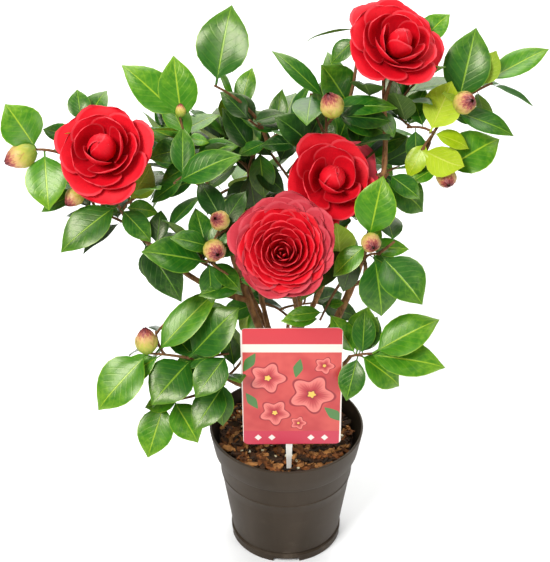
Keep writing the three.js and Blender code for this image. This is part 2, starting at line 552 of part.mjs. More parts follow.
// The point of the mass's twigs that a new shoot leaves from: near its tip, and not above it.
function forkFor(mass, tip) {
  let best = null;
  for (const twig of mass.twigs) {
    for (let t = 0.2; t <= 0.85; t += 0.13) {
      const point = pointOn(twig, t);
      if (point.distanceTo(mass.limb.curve.getPoint(1)) < TWIG.clearOfBough) continue;
      const cost = point.distanceTo(tip) + 2 * Math.max(0, point.z - tip.z + 12);
      if (!best || cost < best.cost) best = { point, tangent: twig.curve.getTangent(t), cost };
    }
  }
  return best ?? { point: mass.limb.curve.getPoint(1), tangent: mass.limb.curve.getTangent(1) };
}

// A twig leaves its fork along the parent's line and sways on its way to its tip. It is drawn
// again while it would touch anything outside its mass, and left out if it always does.
const SWAY_TRIES = 8;

function twigTo(mass, tip) {
  const { point, tangent } = forkFor(mass, tip);
  const reach = point.distanceTo(tip);
  for (let i = 0; i < SWAY_TRIES; i++) {
    const sway = vec([draw(-1, 1), draw(-1, 1), draw(-1, 1)]).multiplyScalar(reach * TWIG.sway * (1 + i));
    const middle = point.clone().addScaledVector(tangent, reach * 0.3).lerp(tip, 0.35).add(sway);
    const curve = new THREE.QuadraticBezierCurve3(point, middle, tip);
    const steps = Math.max(2, Math.round(reach / TWIG.step));
    const radiusAt = (t) => TWIG.tip + TWIG.growth * reach * (1 - t);
    const outer = limb(curve, radiusAt, 3, steps, GAP, Math.min(0.5, TWIG.foot / reach));
    if (touches(mass, outer) === 'other') continue;
    keepPart(mass, limb(curve, radiusAt, 3, steps), true);
    const twig = { curve, steps };
    mass.twigs.push(twig);
    return twig;
  }
  return null;
}

const rootOn = (twig, k, spacing) => pointOn(twig, Math.max(0.3, 0.985 - (k * spacing) / twig.curve.getLength()));

// A front shoot carries the buds and leaves that it is given, back from its tip.
function growBuds(mass, shoot, twig) {
  for (const [hour, size, lean] of shoot.buds ?? []) {
    const bud = { root: pointOn(twig, 1), along: handOfClock(hour, lean), length: size, width: size * BUD.share };
    if (touches(mass, budSolid(bud, GAP)) !== 'other') keepPart(mass, budSolid(bud));
  }
}

function growLeaves(mass, shoot, twig) {
  shoot.leaves.forEach(([hour, length, width, lean = LEAF.lean, roll = 0], k) => {
    const along = handOfClock(hour, lean);
    const normal = squareTo(along, LIGHT).applyAxisAngle(along, rad(roll));
    placeLeaf(mass, { root: rootOn(twig, k, TWIG.internode), along, normal, length, width }, true);
  });
}

// A back shoot leaves a drawn twig of its mass and heads up, out and to the rear, with its leaves
// set round it by the golden angle. It stays that margin inside the space of the front shoots, and
// is dropped if there is no room for any of its leaves.
const BACK = { near: 34, far: 56, low: -12, high: 48, sweep: 150, leaves: 3, spacing: 12,
  pitch: 32, pitchStep: 9, short: 38, long: 56, margin: 34 };

function growBackShoot(mass, index) {
  const foot = pointOn(mass.twigs[Math.floor(draw(0, mass.fronts))], draw(0.45, 0.9));
  const azimuth = rad(90 - BACK.sweep / 2 + ((index * GOLDEN) % BACK.sweep));
  const rise = rad(draw(BACK.low, BACK.high));
  const heading = vec([Math.cos(azimuth) * Math.cos(rise), Math.sin(azimuth) * Math.cos(rise), Math.sin(rise)]);
  const tip = foot.addScaledVector(heading, draw(BACK.near, BACK.far));
  if (tip.distanceTo(mass.middle) > mass.room - BACK.margin) return;
  const twig = twigTo(mass, tip);
  if (!twig) return;
  const axis = twig.curve.getTangent(1);
  const side = squareTo(axis, UP);
  const face = UP.clone().addScaledVector(axis, 0.2);
  let kept = 0;
  for (let k = 0; k < BACK.leaves; k++) {
    const round = side.clone().applyAxisAngle(axis, rad(k * GOLDEN + index * 40));
    const pitch = rad(BACK.pitch + BACK.pitchStep * k);
    const along = axis.clone().multiplyScalar(Math.cos(pitch)).addScaledVector(round, Math.sin(pitch));
    const length = draw(BACK.short, BACK.long);
    kept += placeLeaf(mass, { root: rootOn(twig, k, BACK.spacing), along, normal: squareTo(along, face),
      length, width: length * LEAF.widthShare }, false);
  }
  if (!kept) [placed, mass.parts, mass.twigs].forEach((list) => list.pop());
}

function growBlooms() {
  return Object.entries(BLOOMS).map(([name, bloom]) => {
    const facing = handOfClock(...bloom.faces);
    const seat = vec(bloom.centre).addScaledVector(facing, -bloom.radius * 0.45);
    const start = pointOn(limbs[bloom.from], bloom.at);
    const reach = start.distanceTo(seat);
    const middle = seat.clone().addScaledVector(facing, -reach * 0.45);
    const curve = new THREE.QuadraticBezierCurve3(start, middle, seat);
    const steps = Math.round(reach / 24) + 1;
    const radiusAt = (t) => THREE.MathUtils.lerp(1.7, 2.1, t);
    return { name, solid: bloomSolid(bloom, limb(curve, radiusAt, 5, steps)),
      clear: limb(curve, radiusAt, 5, steps, GAP) };
  });
}

function cutClear(solid, spaces) {
  return largest(solid.subtract(union(spaces)));
}

function growCrown() {
  const spaces = Object.values(limbs).map(({ clear }) => clear);
  Object.entries(limbs).forEach(([name, { solid }]) => keep(name, solid));
  const blooms = growBlooms().map((bloom) => ({ ...bloom, solid: cutClear(bloom.solid, spaces) }));
  blooms.forEach(({ name, solid }) => keep(name, solid));
  spaces.push(...blooms.map(({ clear }) => clear));
  const masses = Object.entries(MASSES).map(([name, plan]) => {
    const tips = plan.shoots.map(({ tip }) => vec(tip));
    const middle = tips.reduce((sum, tip) => sum.add(tip), vec([0, 0, 0])).divideScalar(tips.length);
    return { name, ...plan, limb: limbs[plan.bough], middle, twigs: [], parts: [] };
  });
  const shoots = masses.flatMap((mass, i) => mass.shoots.map((shoot, k) => {
    sow(SEED + 100 * i + k);
    return { mass, shoot, twig: twigTo(mass, vec(shoot.tip)) };
  })).filter(({ twig }) => twig);
  for (const { mass, shoot, twig } of shoots) growBuds(mass, shoot, twig);
  for (const { mass, shoot, twig } of shoots) growLeaves(mass, shoot, twig);
  masses.forEach((mass, i) => {
    mass.fronts = mass.twigs.length;
    for (let k = 0; k < mass.back; k++) {
      sow(SEED + 100 * i + 50 + k);
      growBackShoot(mass, k);
    }
  });
  return { blooms, masses, spaces };
}

// ---- the shrub -------------------------------------------------------------------------------

const shrub = new THREE.Group();
const pot = buildPot();
const soil = buildSoil(buildStake(GAP));
const card = buildCard();
const stake = buildStake();
shrub.add(meshOf('pot', pot, FINISH.plastic), meshOf('soil', soil, FINISH.mulch),
  meshOf('label_card', card, FINISH.card), meshOf('label_stake', stake, FINISH.stake));

buildTrunk();
buildBoughs();
for (const [name, { solid }] of Object.entries(limbs)) shrub.add(meshOf(name, solid, FINISH.bark));

keep('pot', pot);
keep('soil', soil);
keep('label_card', card);
keep('label_stake', stake);
const crown = growCrown();
for (const { name, solid } of crown.blooms) shrub.add(meshOf(name, solid, FINISH.petal));
for (const { name, parts } of crown.masses) {
  shrub.add(meshOf(name, cutClear(union(parts), crown.spaces), FINISH.leaf));
}

export default shrub;
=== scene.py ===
import math

import bpy
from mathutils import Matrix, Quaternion, Vector
from mathutils.bvhtree import BVHTree


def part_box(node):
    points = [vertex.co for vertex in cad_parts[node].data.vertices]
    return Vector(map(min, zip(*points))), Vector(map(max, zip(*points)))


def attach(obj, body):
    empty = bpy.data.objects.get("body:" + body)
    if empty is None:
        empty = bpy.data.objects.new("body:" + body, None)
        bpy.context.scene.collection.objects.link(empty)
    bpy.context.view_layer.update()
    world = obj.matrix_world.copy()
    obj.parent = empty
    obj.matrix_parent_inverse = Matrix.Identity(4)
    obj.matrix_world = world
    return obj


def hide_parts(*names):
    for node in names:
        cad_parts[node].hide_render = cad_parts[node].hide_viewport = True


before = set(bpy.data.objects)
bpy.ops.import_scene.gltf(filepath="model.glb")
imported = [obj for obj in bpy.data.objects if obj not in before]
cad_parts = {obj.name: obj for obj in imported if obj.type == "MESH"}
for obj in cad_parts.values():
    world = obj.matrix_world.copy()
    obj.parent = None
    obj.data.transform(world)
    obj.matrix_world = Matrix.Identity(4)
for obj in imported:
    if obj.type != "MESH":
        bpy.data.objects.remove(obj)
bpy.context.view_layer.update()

MM = 0.001                       # the rule of growth works in millimetres, Blender in metres
ROOT = "root"

# ---- sizes -----------------------------------------------------------------------------------

GAP = 0.3
FORK = (1, 0, 174)
SOIL_TOP = 125
POT = {"height": 131, "rim": 75, "foot": 56, "collar": 27, "step": 3.2, "wall": 2.2,
       "notch_width": 26, "notch_depth": 14, "notch_height": 4.5}
TRUNK = {"radius": 6.5, "top": 5.2, "flare": 1.55, "flare_height": 12, "lean": -3}
LABEL = {"width": 90, "height": 128, "thick": 1.2, "corner": 5, "x": 4, "y": -58, "foot": 152,
         "roll": 0.6}

LEAF = {"width_share": 0.52, "petiole": 0.15, "broad": 0.5, "droop": 0.07, "fold": 0.34,
        "thick": 0.018, "lean": 10, "clear_foot": 7}
TWIG = {"tip": 1.25, "growth": 0.011, "step": 26, "internode": 6.5, "sway": 0.07, "foot": 12,
        "clear_of_bough": 7, "first_fork": 0.2, "fork_step": 0.13, "forks": 6, "free_fall": 12,
        "leaving": 0.3, "bend_at": 0.35, "first_leaf": 0.3, "last_leaf": 0.985}
BACK = {"near": 34, "far": 56, "low": -12, "high": 48, "sweep": 150, "leaves": 5, "spacing": 8,
        "pitch": 32, "pitch_step": 9, "short": 38, "long": 56, "margin": 34}
BUD_SHARE = 0.78
DIAL_TILT = 26
GOLDEN = 137.5
SEED = 2901
SOWN = {"mass": 100, "back": 50, "leaves": 7000, "blooms": 9000, "mulch": 5}
TRIES = ((0, 0), (9, 0), (-9, 0), (0, 7), (0, -7), (18, 0), (-18, 0), (12, 8), (-12, -8),
         (27, 0), (-27, 0), (12, -9), (-12, 9), (36, 0), (-36, 0), (24, 12), (-24, -12))
SWAY_TRIES = 8
PATIENCE = 3                     # tries after which a chosen leaf may cross its own mass
FINER_SHOOTS = 2                 # more back shoots in each mass than the plain solids have
# Back shoots are dealt mostly the deep and middle tones: painted shade that darkens the inner crown.
BACK_SHADE_TONES = (1, 0, 1, 2)

# A twig as it is drawn, and the flowering stem that widens into a bloom's seat: radii and their
# growth, and how finely they are built. A twig ends a little past its outermost leaf.
DRAWN_TWIG = {"tip": 0.95, "growth": 0.012, "scars": 0.5, "sides": 7, "run": 5, "past_leaf": 0.03}
STEM = {"seat": 0.5, "bow": 0.45, "radius": 1.5, "swell": 22.4, "swells_from": 0.86, "sides": 9,
        "runs": 18}
KNOT = {"swell": 0.28, "turns": 46, "sharp": 6}

# The mulch is higher in its middle, and its chips are mostly short. The card is thinner than its
# solid, and the stake has a sunk panel on each side.
MULCH = {"chips": 1300, "granules": 34, "trunk_clear": 9, "crown": 2.2, "short": 3, "long": 14}
CARD = {"thick": 0.6, "round": 0.15}
STAKE = {"width": 7.5, "off": -2, "point": 0.35, "panel_rim": 1.4, "panel_depth": 0.4, "round": 0.4}

# Boughs: the limb each leaves, how far along it, its tip, the bow of its middle and its radii.
BOUGHS = {
    "bough_left": ("trunk", 0.97, (-59, -10, 372), (-6, -4, 6), (4.4, 2.6)),
    "bough_far_left": ("bough_left", 0.5, (-129, -22, 353), (2, -8, -8), (3, 2)),
    "bough_left_front": ("bough_left", 0.62, (-64, -44, 338), (0, -6, -4), (2.4, 1.7)),
    "bough_centre": ("trunk", 1, (-35, 28, 372), (-8, 0, 0), (2.8, 1.8)),
    "bough_mid": ("trunk", 1, (32, -18, 387), (-4, 4, 4), (3.8, 2.2)),
    "bough_front": ("bough_mid", 0.36, (-2, -46, 330), (4, -4, -6), (2.6, 1.9)),
    "bough_right": ("trunk", 0.93, (80, -15, 396), (9, -4, -14), (4.6, 2.7)),
    "bough_right_front": ("bough_right", 0.62, (66, -46, 338), (4, -2, -4), (2.2, 1.7)),
    "bough_upright": ("bough_right", 1, (79, -8, 466), (2, 0, 0), (2.5, 2)),
    "bough_outer_right": ("bough_right", 0.94, (119, -4, 432), (5, 0, -4), (2.3, 1.8)),
    "bough_low_left": ("trunk", 0.8, (-74, -42, 232), (-4, -2, -6), (2.9, 1.9)),
    "bough_low_right": ("trunk", 0.86, (56, -50, 244), (4, -4, -5), (2.7, 1.9)),
    "bough_back_left": ("bough_centre", 0.28, (-62, 72, 330), (-4, 8, -6), (2.5, 1.9)),
    "bough_back_right": ("bough_mid", 0.24, (62, 74, 338), (6, 10, -8), (2.8, 1.9)),
    "bough_back_top": ("bough_mid", 0.55, (8, 60, 356), (0, 8, -4), (2.2, 1.7)),
    "bough_back_low": ("trunk", 0.88, (2, 62, 214), (0, 4, -8), (2.4, 1.8)),
    "bough_back_mid": ("bough_centre", 0.45, (-12, 46, 292), (0, 4, -6), (2, 1.6)),
}

# Masses of foliage: the bough each grows from, its back shoots, the radius of its space, the
# tones that its sprays are dealt (0 deep to 3 young and bright), and its front shoots. A shoot is
# its tip, its leaves and its buds. A leaf is [hour on the dial, length, width, lean towards the
# front, roll about its midrib], and a bud is [hour, size, lean].
MASSES = {
    "mass_far_left": ("bough_far_left", 1, 104, (1, 2, 1), (
        ((-142, -40, 392), ([7.8, 62, 34, 14], [4.5, 38, 22], [9, 34, 18, -20]), ()),
        ((-134, -34, 391), ([1.2, 40, 27, 14, 180], [3.2, 30, 18, -14]), ()),
        ((-172, -38, 404), ([8.2, 40, 17, 0],), ([7.4, 20, 30],)),
        ((-172, -8, 452), ([11.7, 30, 20, -10], [0.9, 44, 22, -16], [9.6, 38, 18, -20]), ()),
        ((-208, -30, 437), ([11, 44, 38, 16], [5.8, 50, 36, 18], [1.9, 28, 15, 10, 60],
                            [3.9, 36, 18, -16]), ([8.2, 28, 10],)),
    )),
    "mass_top_left": ("bough_left", 5, 98, (1, 2, 1), (
        ((-82, -6, 428), ([8.7, 37, 27, 24], [2.5, 38, 20, 0], [8, 36, 19, 16], [1.2, 34, 22, -10]),
                         ()),
        ((-90, -8, 456), ([10.5, 64, 36, 14], [11.8, 57, 34, 12], [9.2, 44, 19, 16, 60],
                          [3.2, 20, 13, -10], [9.8, 42, 20, -24], [11.15, 54, 24, -20]),
                         ([0.1, 12, 0],)),
        ((-94, -46, 414), ([2.1, 60, 29, 18], [2.2, 56, 23, -8], [0, 44, 21, -6],
                           [7.9, 40, 18, -14]), ()),
    )),
    "mass_centre_top": ("bough_centre", 5, 112, (0, 1, 0, 1, 0), (
        ((-30, 26, 408), ([10.9, 48, 25, 10], [9.7, 42, 21, 14], [4.2, 42, 24, -14],
                          [5.7, 44, 24, -18], [7, 40, 22, -18], [11.6, 40, 20, -20]), ()),
        ((-6, 32, 425), ([9.9, 42, 21, 10], [0.3, 42, 18, 8], [8.2, 30, 15, 16],
                         [10.1, 36, 19, -12, 180], [5.8, 46, 24, -16], [11, 40, 20, -22]), ()),
        ((22, 4, 424), ([10.4, 42, 31, 22], [0.8, 34, 17, -16], [9, 34, 18, 0]), ()),
        ((-61, 0, 481), ([0.35, 67, 46, 8],), ()),
        ((-33, 10, 446), ([10.6, 34, 20, 10], [2.4, 30, 16, -10], [10.9, 36, 20, -12],
                          [2.6, 36, 18, -16]), ()),
    )),
    "mass_left_mid": ("bough_left_front", 5, 92, (1, 0, 1), (
        ((-68, -58, 346), ([9.45, 58, 34, 24], [5.9, 38, 20, -6], [4.4, 36, 19, 10]), ()),
        ((-125, -42, 359), ([4.8, 62, 32, 16], [5.8, 38, 24, -14], [0.2, 32, 18, -14]), ()),
        ((-36, -52, 322), ([8.6, 42, 22, 16], [3.2, 24, 12, 4], [7.9, 36, 17, -16]), ()),
        ((-64, -58, 361), ([9.6, 38, 22, 30], [0.9, 40, 20, 8], [11.5, 46, 23, -14],
                           [2, 42, 21, -16]), ([4.4, 24, 70],)),
        ((-54, -50, 380), ([11, 44, 22, -18], [1.2, 40, 20, -20]), ([10, 21, 70],)),
    )),
    "mass_low_left": ("bough_low_left", 2, 104, (1, 2, 1), (
        ((-88, -58, 248), ([1.4, 66, 42, 16], [7.5, 54, 43, 26], [10.6, 40, 22, -14]), ()),
        ((-123, -64, 257), ([7.5, 66, 42, 10], [1.4, 80, 32, 4], [7.9, 62, 28, -14]),
                           ([11.9, 25, 16],)),
        ((-52, -60, 254), ([7.3, 48, 31, 18], [0.5, 22, 12, 0], [8.6, 40, 18, -10]), ()),
        ((-56, -54, 216), ([7.2, 50, 31, 22], [5.8, 46, 25, -4], [8.6, 44, 22, -12]), ()),
        ((-112, -52, 196), ([6.6, 54, 34, 10], [4.9, 45, 32, 14], [8.4, 34, 22, -6]), ()),
    )),
    "mass_low_right": ("bough_low_right", 1, 84, (2, 1), (
        ((74, -64, 257), ([1.98, 66, 38, 10], [3.15, 70, 35, 16], [4.2, 50, 34, -10],
                          [0.5, 46, 30, -14], [10.9, 42, 22, -8]), ()),
        ((66, -58, 250), ([0.1, 42, 22, 6], [6.5, 42, 25, 6], [0.9, 40, 24, -14]), ()),
    )),
    "mass_right_mid": ("bough_right_front", 3, 94, (2, 1, 0), (
        ((67, -60, 370), ([0.35, 54, 36, 18], [7.6, 40, 21, 0], [3, 38, 19, -8],
                          [1.2, 26, 13, -20]), ([5.4, 21, 70],)),
        ((77, -62, 356), ([4.6, 56, 40, 28], [5.7, 56, 37, -6], [4, 38, 22, -20]), ()),
        ((52, -48, 354), ([7.6, 52, 25, 0], [6.6, 40, 20, -14]), ()),
        ((29, -38, 275), ([9, 36, 15, 10], [8.7, 36, 15, -6], [2.6, 14, 9, 10]), ()),
    )),
    "mass_right_inner": ("bough_right", 3, 86, (1, 0), (
        ((84, -24, 412), ([4.2, 34, 21, 16], [4.25, 46, 36, -10], [3.3, 34, 17, 0]), ()),
    )),
    "mass_right_top": ("bough_outer_right", 1, 115, (1, 3, 1, 3, 2, 2), (
        ((141, -4, 466), ([0.38, 64, 40, 10], [3.65, 55, 24, 10], [3, 34, 18, -20]),
                         ([2.6, 24, 70],)),
        ((118, -12, 444), ([0.75, 46, 34, 10, 180], [3.6, 34, 18, 0]), ()),
        ((101, 8, 440), ([0.75, 36, 23, 4], [6, 34, 18, 10], [11.4, 30, 17, -10]), ()),
        ((112, -12, 428), ([3.9, 39, 32, 14, 180], [7, 34, 19, 0]), ()),
        ((133, -10, 408), ([1.75, 54, 42, 12], [7.8, 28, 15, 0]), ([5.8, 22, 55],)),
        ((161, 0, 484), ([1.75, 68, 23, 4], [0.9, 34, 22, 14, 180], [8.8, 26, 16, 10, 180]), ()),
    )),
    "mass_top": ("bough_mid", 4, 88, (1, 1, 0), (
        ((31, -2, 471), ([10.5, 60, 18, 4], [3.1, 60, 22, 10], [1.2, 36, 20, -20]), ()),
        ((52, 5, 460), ([10.9, 44, 38, 24], [11.6, 56, 22, -12], [3.5, 46, 26, -6]), ()),
        ((38, -20, 463), ([3.1, 48, 24, -6],), ([11.3, 25, 44],)),
        ((54, 10, 414), ([2.35, 52, 26, 10], [10.8, 34, 18, -14]), ()),
        ((56, 12, 527), ([8.8, 44, 13, -4, 60], [7.6, 30, 18, -10]), ()),
    )),
    "mass_high_right": ("bough_upright", 1, 80, (2, 1), (
        ((104, 8, 512), ([1.45, 39, 23, 4], [8.6, 30, 17, -10]), ()),
        ((76, -6, 462), ([5, 26, 15, 0], [8.4, 28, 16, -6]), ()),
    )),
    "mass_back_left": ("bough_back_left", 5, 110, (1, 0, 2), (
        ((-92, 84, 366), ([10, 50, 27], [1.4, 44, 24], [8.4, 46, 24, -30]), ()),
        ((-48, 88, 384), ([11.6, 48, 26], [9.2, 44, 24, -30], [2.4, 44, 22]), ()),
    )),
    "mass_back_right": ("bough_back_right", 5, 110, (0, 1, 2), (
        ((88, 86, 368), ([2, 50, 27], [11, 44, 24], [3.8, 46, 24, -30]), ()),
        ((44, 92, 376), ([0.6, 48, 26], [3, 44, 24, -30], [9.8, 44, 22]), ()),
    )),
    "mass_back_top": ("bough_back_top", 4, 88, (0, 1, 1), (
        ((-12, 66, 384), ([10.6, 46, 24], [0.8, 44, 23], [8.6, 42, 22, -30]), ()),
        ((30, 66, 386), ([0.4, 44, 24], [2.6, 42, 22, -30]), ()),
    )),
    "mass_back_low": ("bough_back_low", 4, 99, (1, 0), (
        ((-26, 74, 224), ([8.4, 44, 24], [9.8, 44, 24, -30]), ()),
        ((32, 76, 222), ([3.6, 44, 24], [2.4, 44, 24, -30]), ()),
    )),
    "mass_back_mid": ("bough_back_mid", 5, 92, (0, 1), (
        ((-26, 54, 312), ([9.4, 44, 24], [7.6, 42, 22, -30], [11, 40, 22]), ()),
        ((6, 56, 304), ([2.8, 44, 24], [4.4, 42, 22, -30], [0.6, 40, 22]), ()),
    )),
}

# Blooms: the limb each flowering twig leaves, how far along, the centre, the radius, where it
# faces on the dial and its form.
BLOOMS = {
    "bloom_left": ("bough_far_left", 0.93, (-151, -45, 445), 42, (11.5, 74), "loose"),
    "bloom_centre": ("bough_front", 1, (-5, -82, 376), 42.5, (11, 80), "formal"),
    "bloom_right": ("bough_mid", 0.92, (37, -36, 414), 39.5, (1.4, 72), "open"),
    "bloom_top": ("bough_upright", 0.94, (87, -14, 528), 39.5, (1, 62), "domed"),
}

# Forms of bloom: how many petals, how many of them are wrapped into a closed ball at the heart,
# the half angle that each of the others wraps round the bloom, the radius of the heart, how the
# radius grows, the heights above the seat, how far petals close past upright, how soon they open,
# how far the outer ones roll back, how many are pale guard petals, how far the rims reach, and how
# far the heart sinks below the middle. A pair is for the heart and for the rim. Radii and heights
# are shares of the bloom's radius, and angles are degrees.
FORMS = {
    "formal": {"petals": 63, "ball": 0, "wrap": (52, 43), "heart": 0.03, "growth": 0.9,
               "heights": (0.52, 0.18), "close": (0.5, -0.5), "open": 0.6, "roll": 0.12,
               "guard": 14, "reach": 1.07, "sink": 0.17},
    "loose": {"petals": 20, "ball": 3, "wrap": (66, 46), "heart": 0.27, "growth": 0.8,
              "heights": (0.62, 0.22), "close": (0.3, -0.46), "open": 0.7, "roll": 0.2,
              "guard": 0, "reach": 1.05, "sink": 0},
    "open": {"petals": 18, "ball": 3, "wrap": (64, 47), "heart": 0.25, "growth": 0.74,
             "heights": (0.58, 0.24), "close": (0.2, -0.44), "open": 0.7, "roll": 0.2,
             "guard": 1, "reach": 1.12, "sink": 0},
    "domed": {"petals": 24, "ball": 3, "wrap": (60, 44), "heart": 0.22, "growth": 0.8,
              "heights": (0.76, 0.16), "close": (0.36, -0.42), "open": 0.7, "roll": 0.22,
              "guard": 0, "reach": 1.09, "sink": 0.16},
}

# ---- shader writing --------------------------------------------------------------------------


class Socket:
    """A node's output. Sums on it add Math nodes."""

    def __init__(self, finish, output):
        self.finish, self.output = finish, output

    def maths(self, operation, second=0.0):
        return self.finish.maths(operation, self, second)

    def __add__(self, other):
        return self.maths("ADD", other)

    def __radd__(self, other):
        return self.finish.maths("ADD", other, self)

    def __sub__(self, other):
        return self.maths("SUBTRACT", other)

    def __rsub__(self, other):
        return self.finish.maths("SUBTRACT", other, self)

    def __mul__(self, other):
        return self.maths("MULTIPLY", other)

    def __rmul__(self, other):
        return self.finish.maths("MULTIPLY", other, self)

    def __truediv__(self, other):
        return self.maths("DIVIDE", other)

    def __pow__(self, other):
        return self.maths("POWER", other)

    def __abs__(self):
        return self.maths("ABSOLUTE")

    def step(self, low, high):
        """0 below low, 1 above high, smooth between them."""
        return self.finish.node("ShaderNodeMapRange", {"interpolation_type": "SMOOTHSTEP"},
                                {"Value": self, "From Min": low, "From Max": high})


class Finish:
    """One material, on a Principled shader whose constants are set on its own sockets."""

    def __init__(self, name, **constants):
        self.material = bpy.data.materials.new(name)
        self.material.use_nodes = True
        self.tree = self.material.node_tree
        self.shader = self.tree.nodes["Principled BSDF"]
        self.wear(**constants)

    def node(self, kind, settings=None, sockets=None, out=0):
        new = self.tree.nodes.new(kind)
        for key, value in (settings or {}).items():
            if key == "stops":
                fill_ramp(new.color_ramp, value)
            else:
                setattr(new, key, value)
        for key, value in (sockets or {}).items():
            self.feed(new.inputs[key], value)
        return Socket(self, new.outputs[out])

    def feed(self, target, value):
        if isinstance(value, Socket):
            self.tree.links.new(value.output, target)
        else:
            target.default_value = value

    def maths(self, operation, first, second=0.0):
        return self.node("ShaderNodeMath", {"operation": operation}, {0: first, 1: second})

    def place(self):
        """Object coordinates, in metres."""
        return self.node("ShaderNodeTexCoord", out="Object")

    def chart(self, layer):
        """Where a point lies on a piece's own map."""
        return self.node("ShaderNodeUVMap", {"uv_map": layer})

    def parts(self, vector):
        """The three numbers of a vector."""
        split = self.node("ShaderNodeSeparateXYZ", None, {0: vector})
        return [Socket(self, output) for output in split.output.node.outputs]

    def noise(self, where, scale, detail=3.0, rough=0.55, stretch=None):
        if stretch:
            where = self.node("ShaderNodeMapping", None, {"Vector": where, "Scale": stretch})
        return self.node("ShaderNodeTexNoise", None,
                         {"Vector": where, "Scale": scale, "Detail": detail, "Roughness": rough})

    def mix(self, share, first, second):
        return self.node("ShaderNodeMix", {"data_type": "RGBA"}, {0: share, 6: first, 7: second}, 2)

    def ramp(self, value, *stops):
        return self.node("ShaderNodeValToRGB", {"stops": stops}, {0: value})

    def bump(self, height, strength, distance):
        return self.node("ShaderNodeBump", None,
                         {"Height": height, "Strength": strength, "Distance": distance})

    def wear(self, **sockets):
        """Values and links for the shader's own sockets."""
        for socket, value in sockets.items():
            self.feed(self.shader.inputs[socket.replace("_", " ")], value)
        return self.material


def fill_ramp(ramp, stops):
    for _ in range(len(stops) - 2):
        ramp.elements.new(0.5)
    for element, (place, colour) in zip(ramp.elements, stops):
        element.position = place
        element.color = colour


def rgb(red, green, blue):
    return (red, green, blue, 1.0)


# ---- finishes --------------------------------------------------------------------------------

# The two sides of a leaf. Each has four tones, deep to young, as (blade, between the veins,
# midrib), how much a painted highlight pales its tip, how its veins show, how deep its veins and
# midrib are sunk, and its roughness and coat of wax.
LEAF_SIDES = {
    "upper": {"tones": (
        (rgb(0.002, 0.03, 0.004), rgb(0.006, 0.056, 0.005), rgb(0.1, 0.24, 0.015)),
        (rgb(0.006, 0.078, 0.004), rgb(0.024, 0.14, 0.006), rgb(0.24, 0.42, 0.02)),
        (rgb(0.028, 0.16, 0.004), rgb(0.08, 0.26, 0.007), rgb(0.38, 0.54, 0.025)),
        (rgb(0.27, 0.42, 0.004), rgb(0.38, 0.52, 0.007), rgb(0.56, 0.64, 0.04))),
        "painted_tip_highlight": 0.3, "veins": 0.09, "vein_sunk": 0.22, "rib_sunk": 0.8, "rough": 0.3,
        "wax": 0.19},
    "under": {"tones": (
        (rgb(0.055, 0.12, 0.02), rgb(0.075, 0.15, 0.025), rgb(0.18, 0.28, 0.05)),
        (rgb(0.1, 0.19, 0.02), rgb(0.13, 0.23, 0.025), rgb(0.27, 0.38, 0.06)),
        (rgb(0.2, 0.32, 0.014), rgb(0.26, 0.38, 0.02), rgb(0.4, 0.5, 0.06)),
        (rgb(0.34, 0.47, 0.008), rgb(0.42, 0.54, 0.012), rgb(0.55, 0.61, 0.08))),
        "painted_tip_highlight": 0.15, "veins": 0.26, "vein_sunk": -0.5, "rib_sunk": -1.4, "rough": 0.5,
        "wax": 0.0},
}
TONES = len(LEAF_SIDES["upper"]["tones"])
VEIN_PAIRS, VEIN_SLANT = 9, 2.6

# Bark, chips and the pot's plastic shine little, and warmly.
DULL = {"Specular_IOR_Level": 0.3, "Specular_Tint": rgb(1, 0.85, 0.7)}


def leaf_finish(which, tone):
    """A leaf's own chart runs across it and from its foot to its tip."""
    side = LEAF_SIDES[which]
    blade, web, rib = side["tones"][tone]
    finish = Finish(f"leaf {which} {tone}", Coat_Roughness=0.17, Coat_IOR=1.4,
                    Specular_Tint=rgb(1, 0.97, 0.6))
    chart = finish.chart("blade")
    across, along, _ = finish.parts(chart)
    off_rib = abs(across - 0.5) * 2
    ribs = 1 - off_rib.step(0.015, 0.06)
    vein = (along * VEIN_PAIRS - off_rib * VEIN_SLANT).maths("FRACT")
    veins = (1 - abs(vein - 0.5).step(0.0, 0.16)) * (1 - off_rib.step(0.7, 0.95))
    rim = off_rib.step(0.93, 1.0) * 0.5
    blotch = finish.noise(chart, 4.0, 3.0, 0.6, (1, 2.2, 1))
    ground = finish.mix(blotch.step(0.25, 0.75) * 0.7, blade, web)
    # Painted highlight: towards its tip the blade is mixed, in blotches, into the midrib's paler
    # colour.
    pale = (along + (blotch - 0.5) * 0.9).step(0.5, 1.2) * side["painted_tip_highlight"]
    veined = finish.mix(veins * side["veins"], finish.mix(pale, ground, rib), rib)
    height = blotch * 0.6 - veins * side["vein_sunk"] - ribs * side["rib_sunk"]
    return finish.wear(
        Base_Color=finish.mix(ribs * 0.7 + rim, veined, rib),
        Roughness=side["rough"] + blotch * 0.12,
        Coat_Weight=side["wax"],
        Normal=finish.bump(height, 0.5, 0.0006))


def petal_finish(name, deep, clear, rim):
    """A petal's chart is its own outline: a strip that ends in a half circle."""
    finish = Finish(name, Specular_IOR_Level=0.3, Specular_Tint=rgb(1, 0.6, 0.6))
    chart = finish.chart("petal")
    across, along, _ = finish.parts(chart)
    off_middle = abs(across - 0.5) * 2
    top = (along - PETAL_ROUND).maths("MAXIMUM", 0.0) / (1 - PETAL_ROUND)
    reach = (off_middle * off_middle + top * top) ** 0.5
    streaks = finish.noise(chart, 5.0, 3.0, 0.6, (9, 1.2, 1))
    body = finish.mix(along.step(0.15, 0.8), deep, clear)
    streaked = finish.mix(streaks.step(0.45, 0.75) * 0.3, body, deep)
    return finish.wear(
        Base_Color=finish.mix(reach.step(0.93, 1.0) * 0.45, streaked, rim),
        Roughness=0.5 + streaks * 0.14,
        Normal=finish.bump(streaks, 0.25, 0.0006))


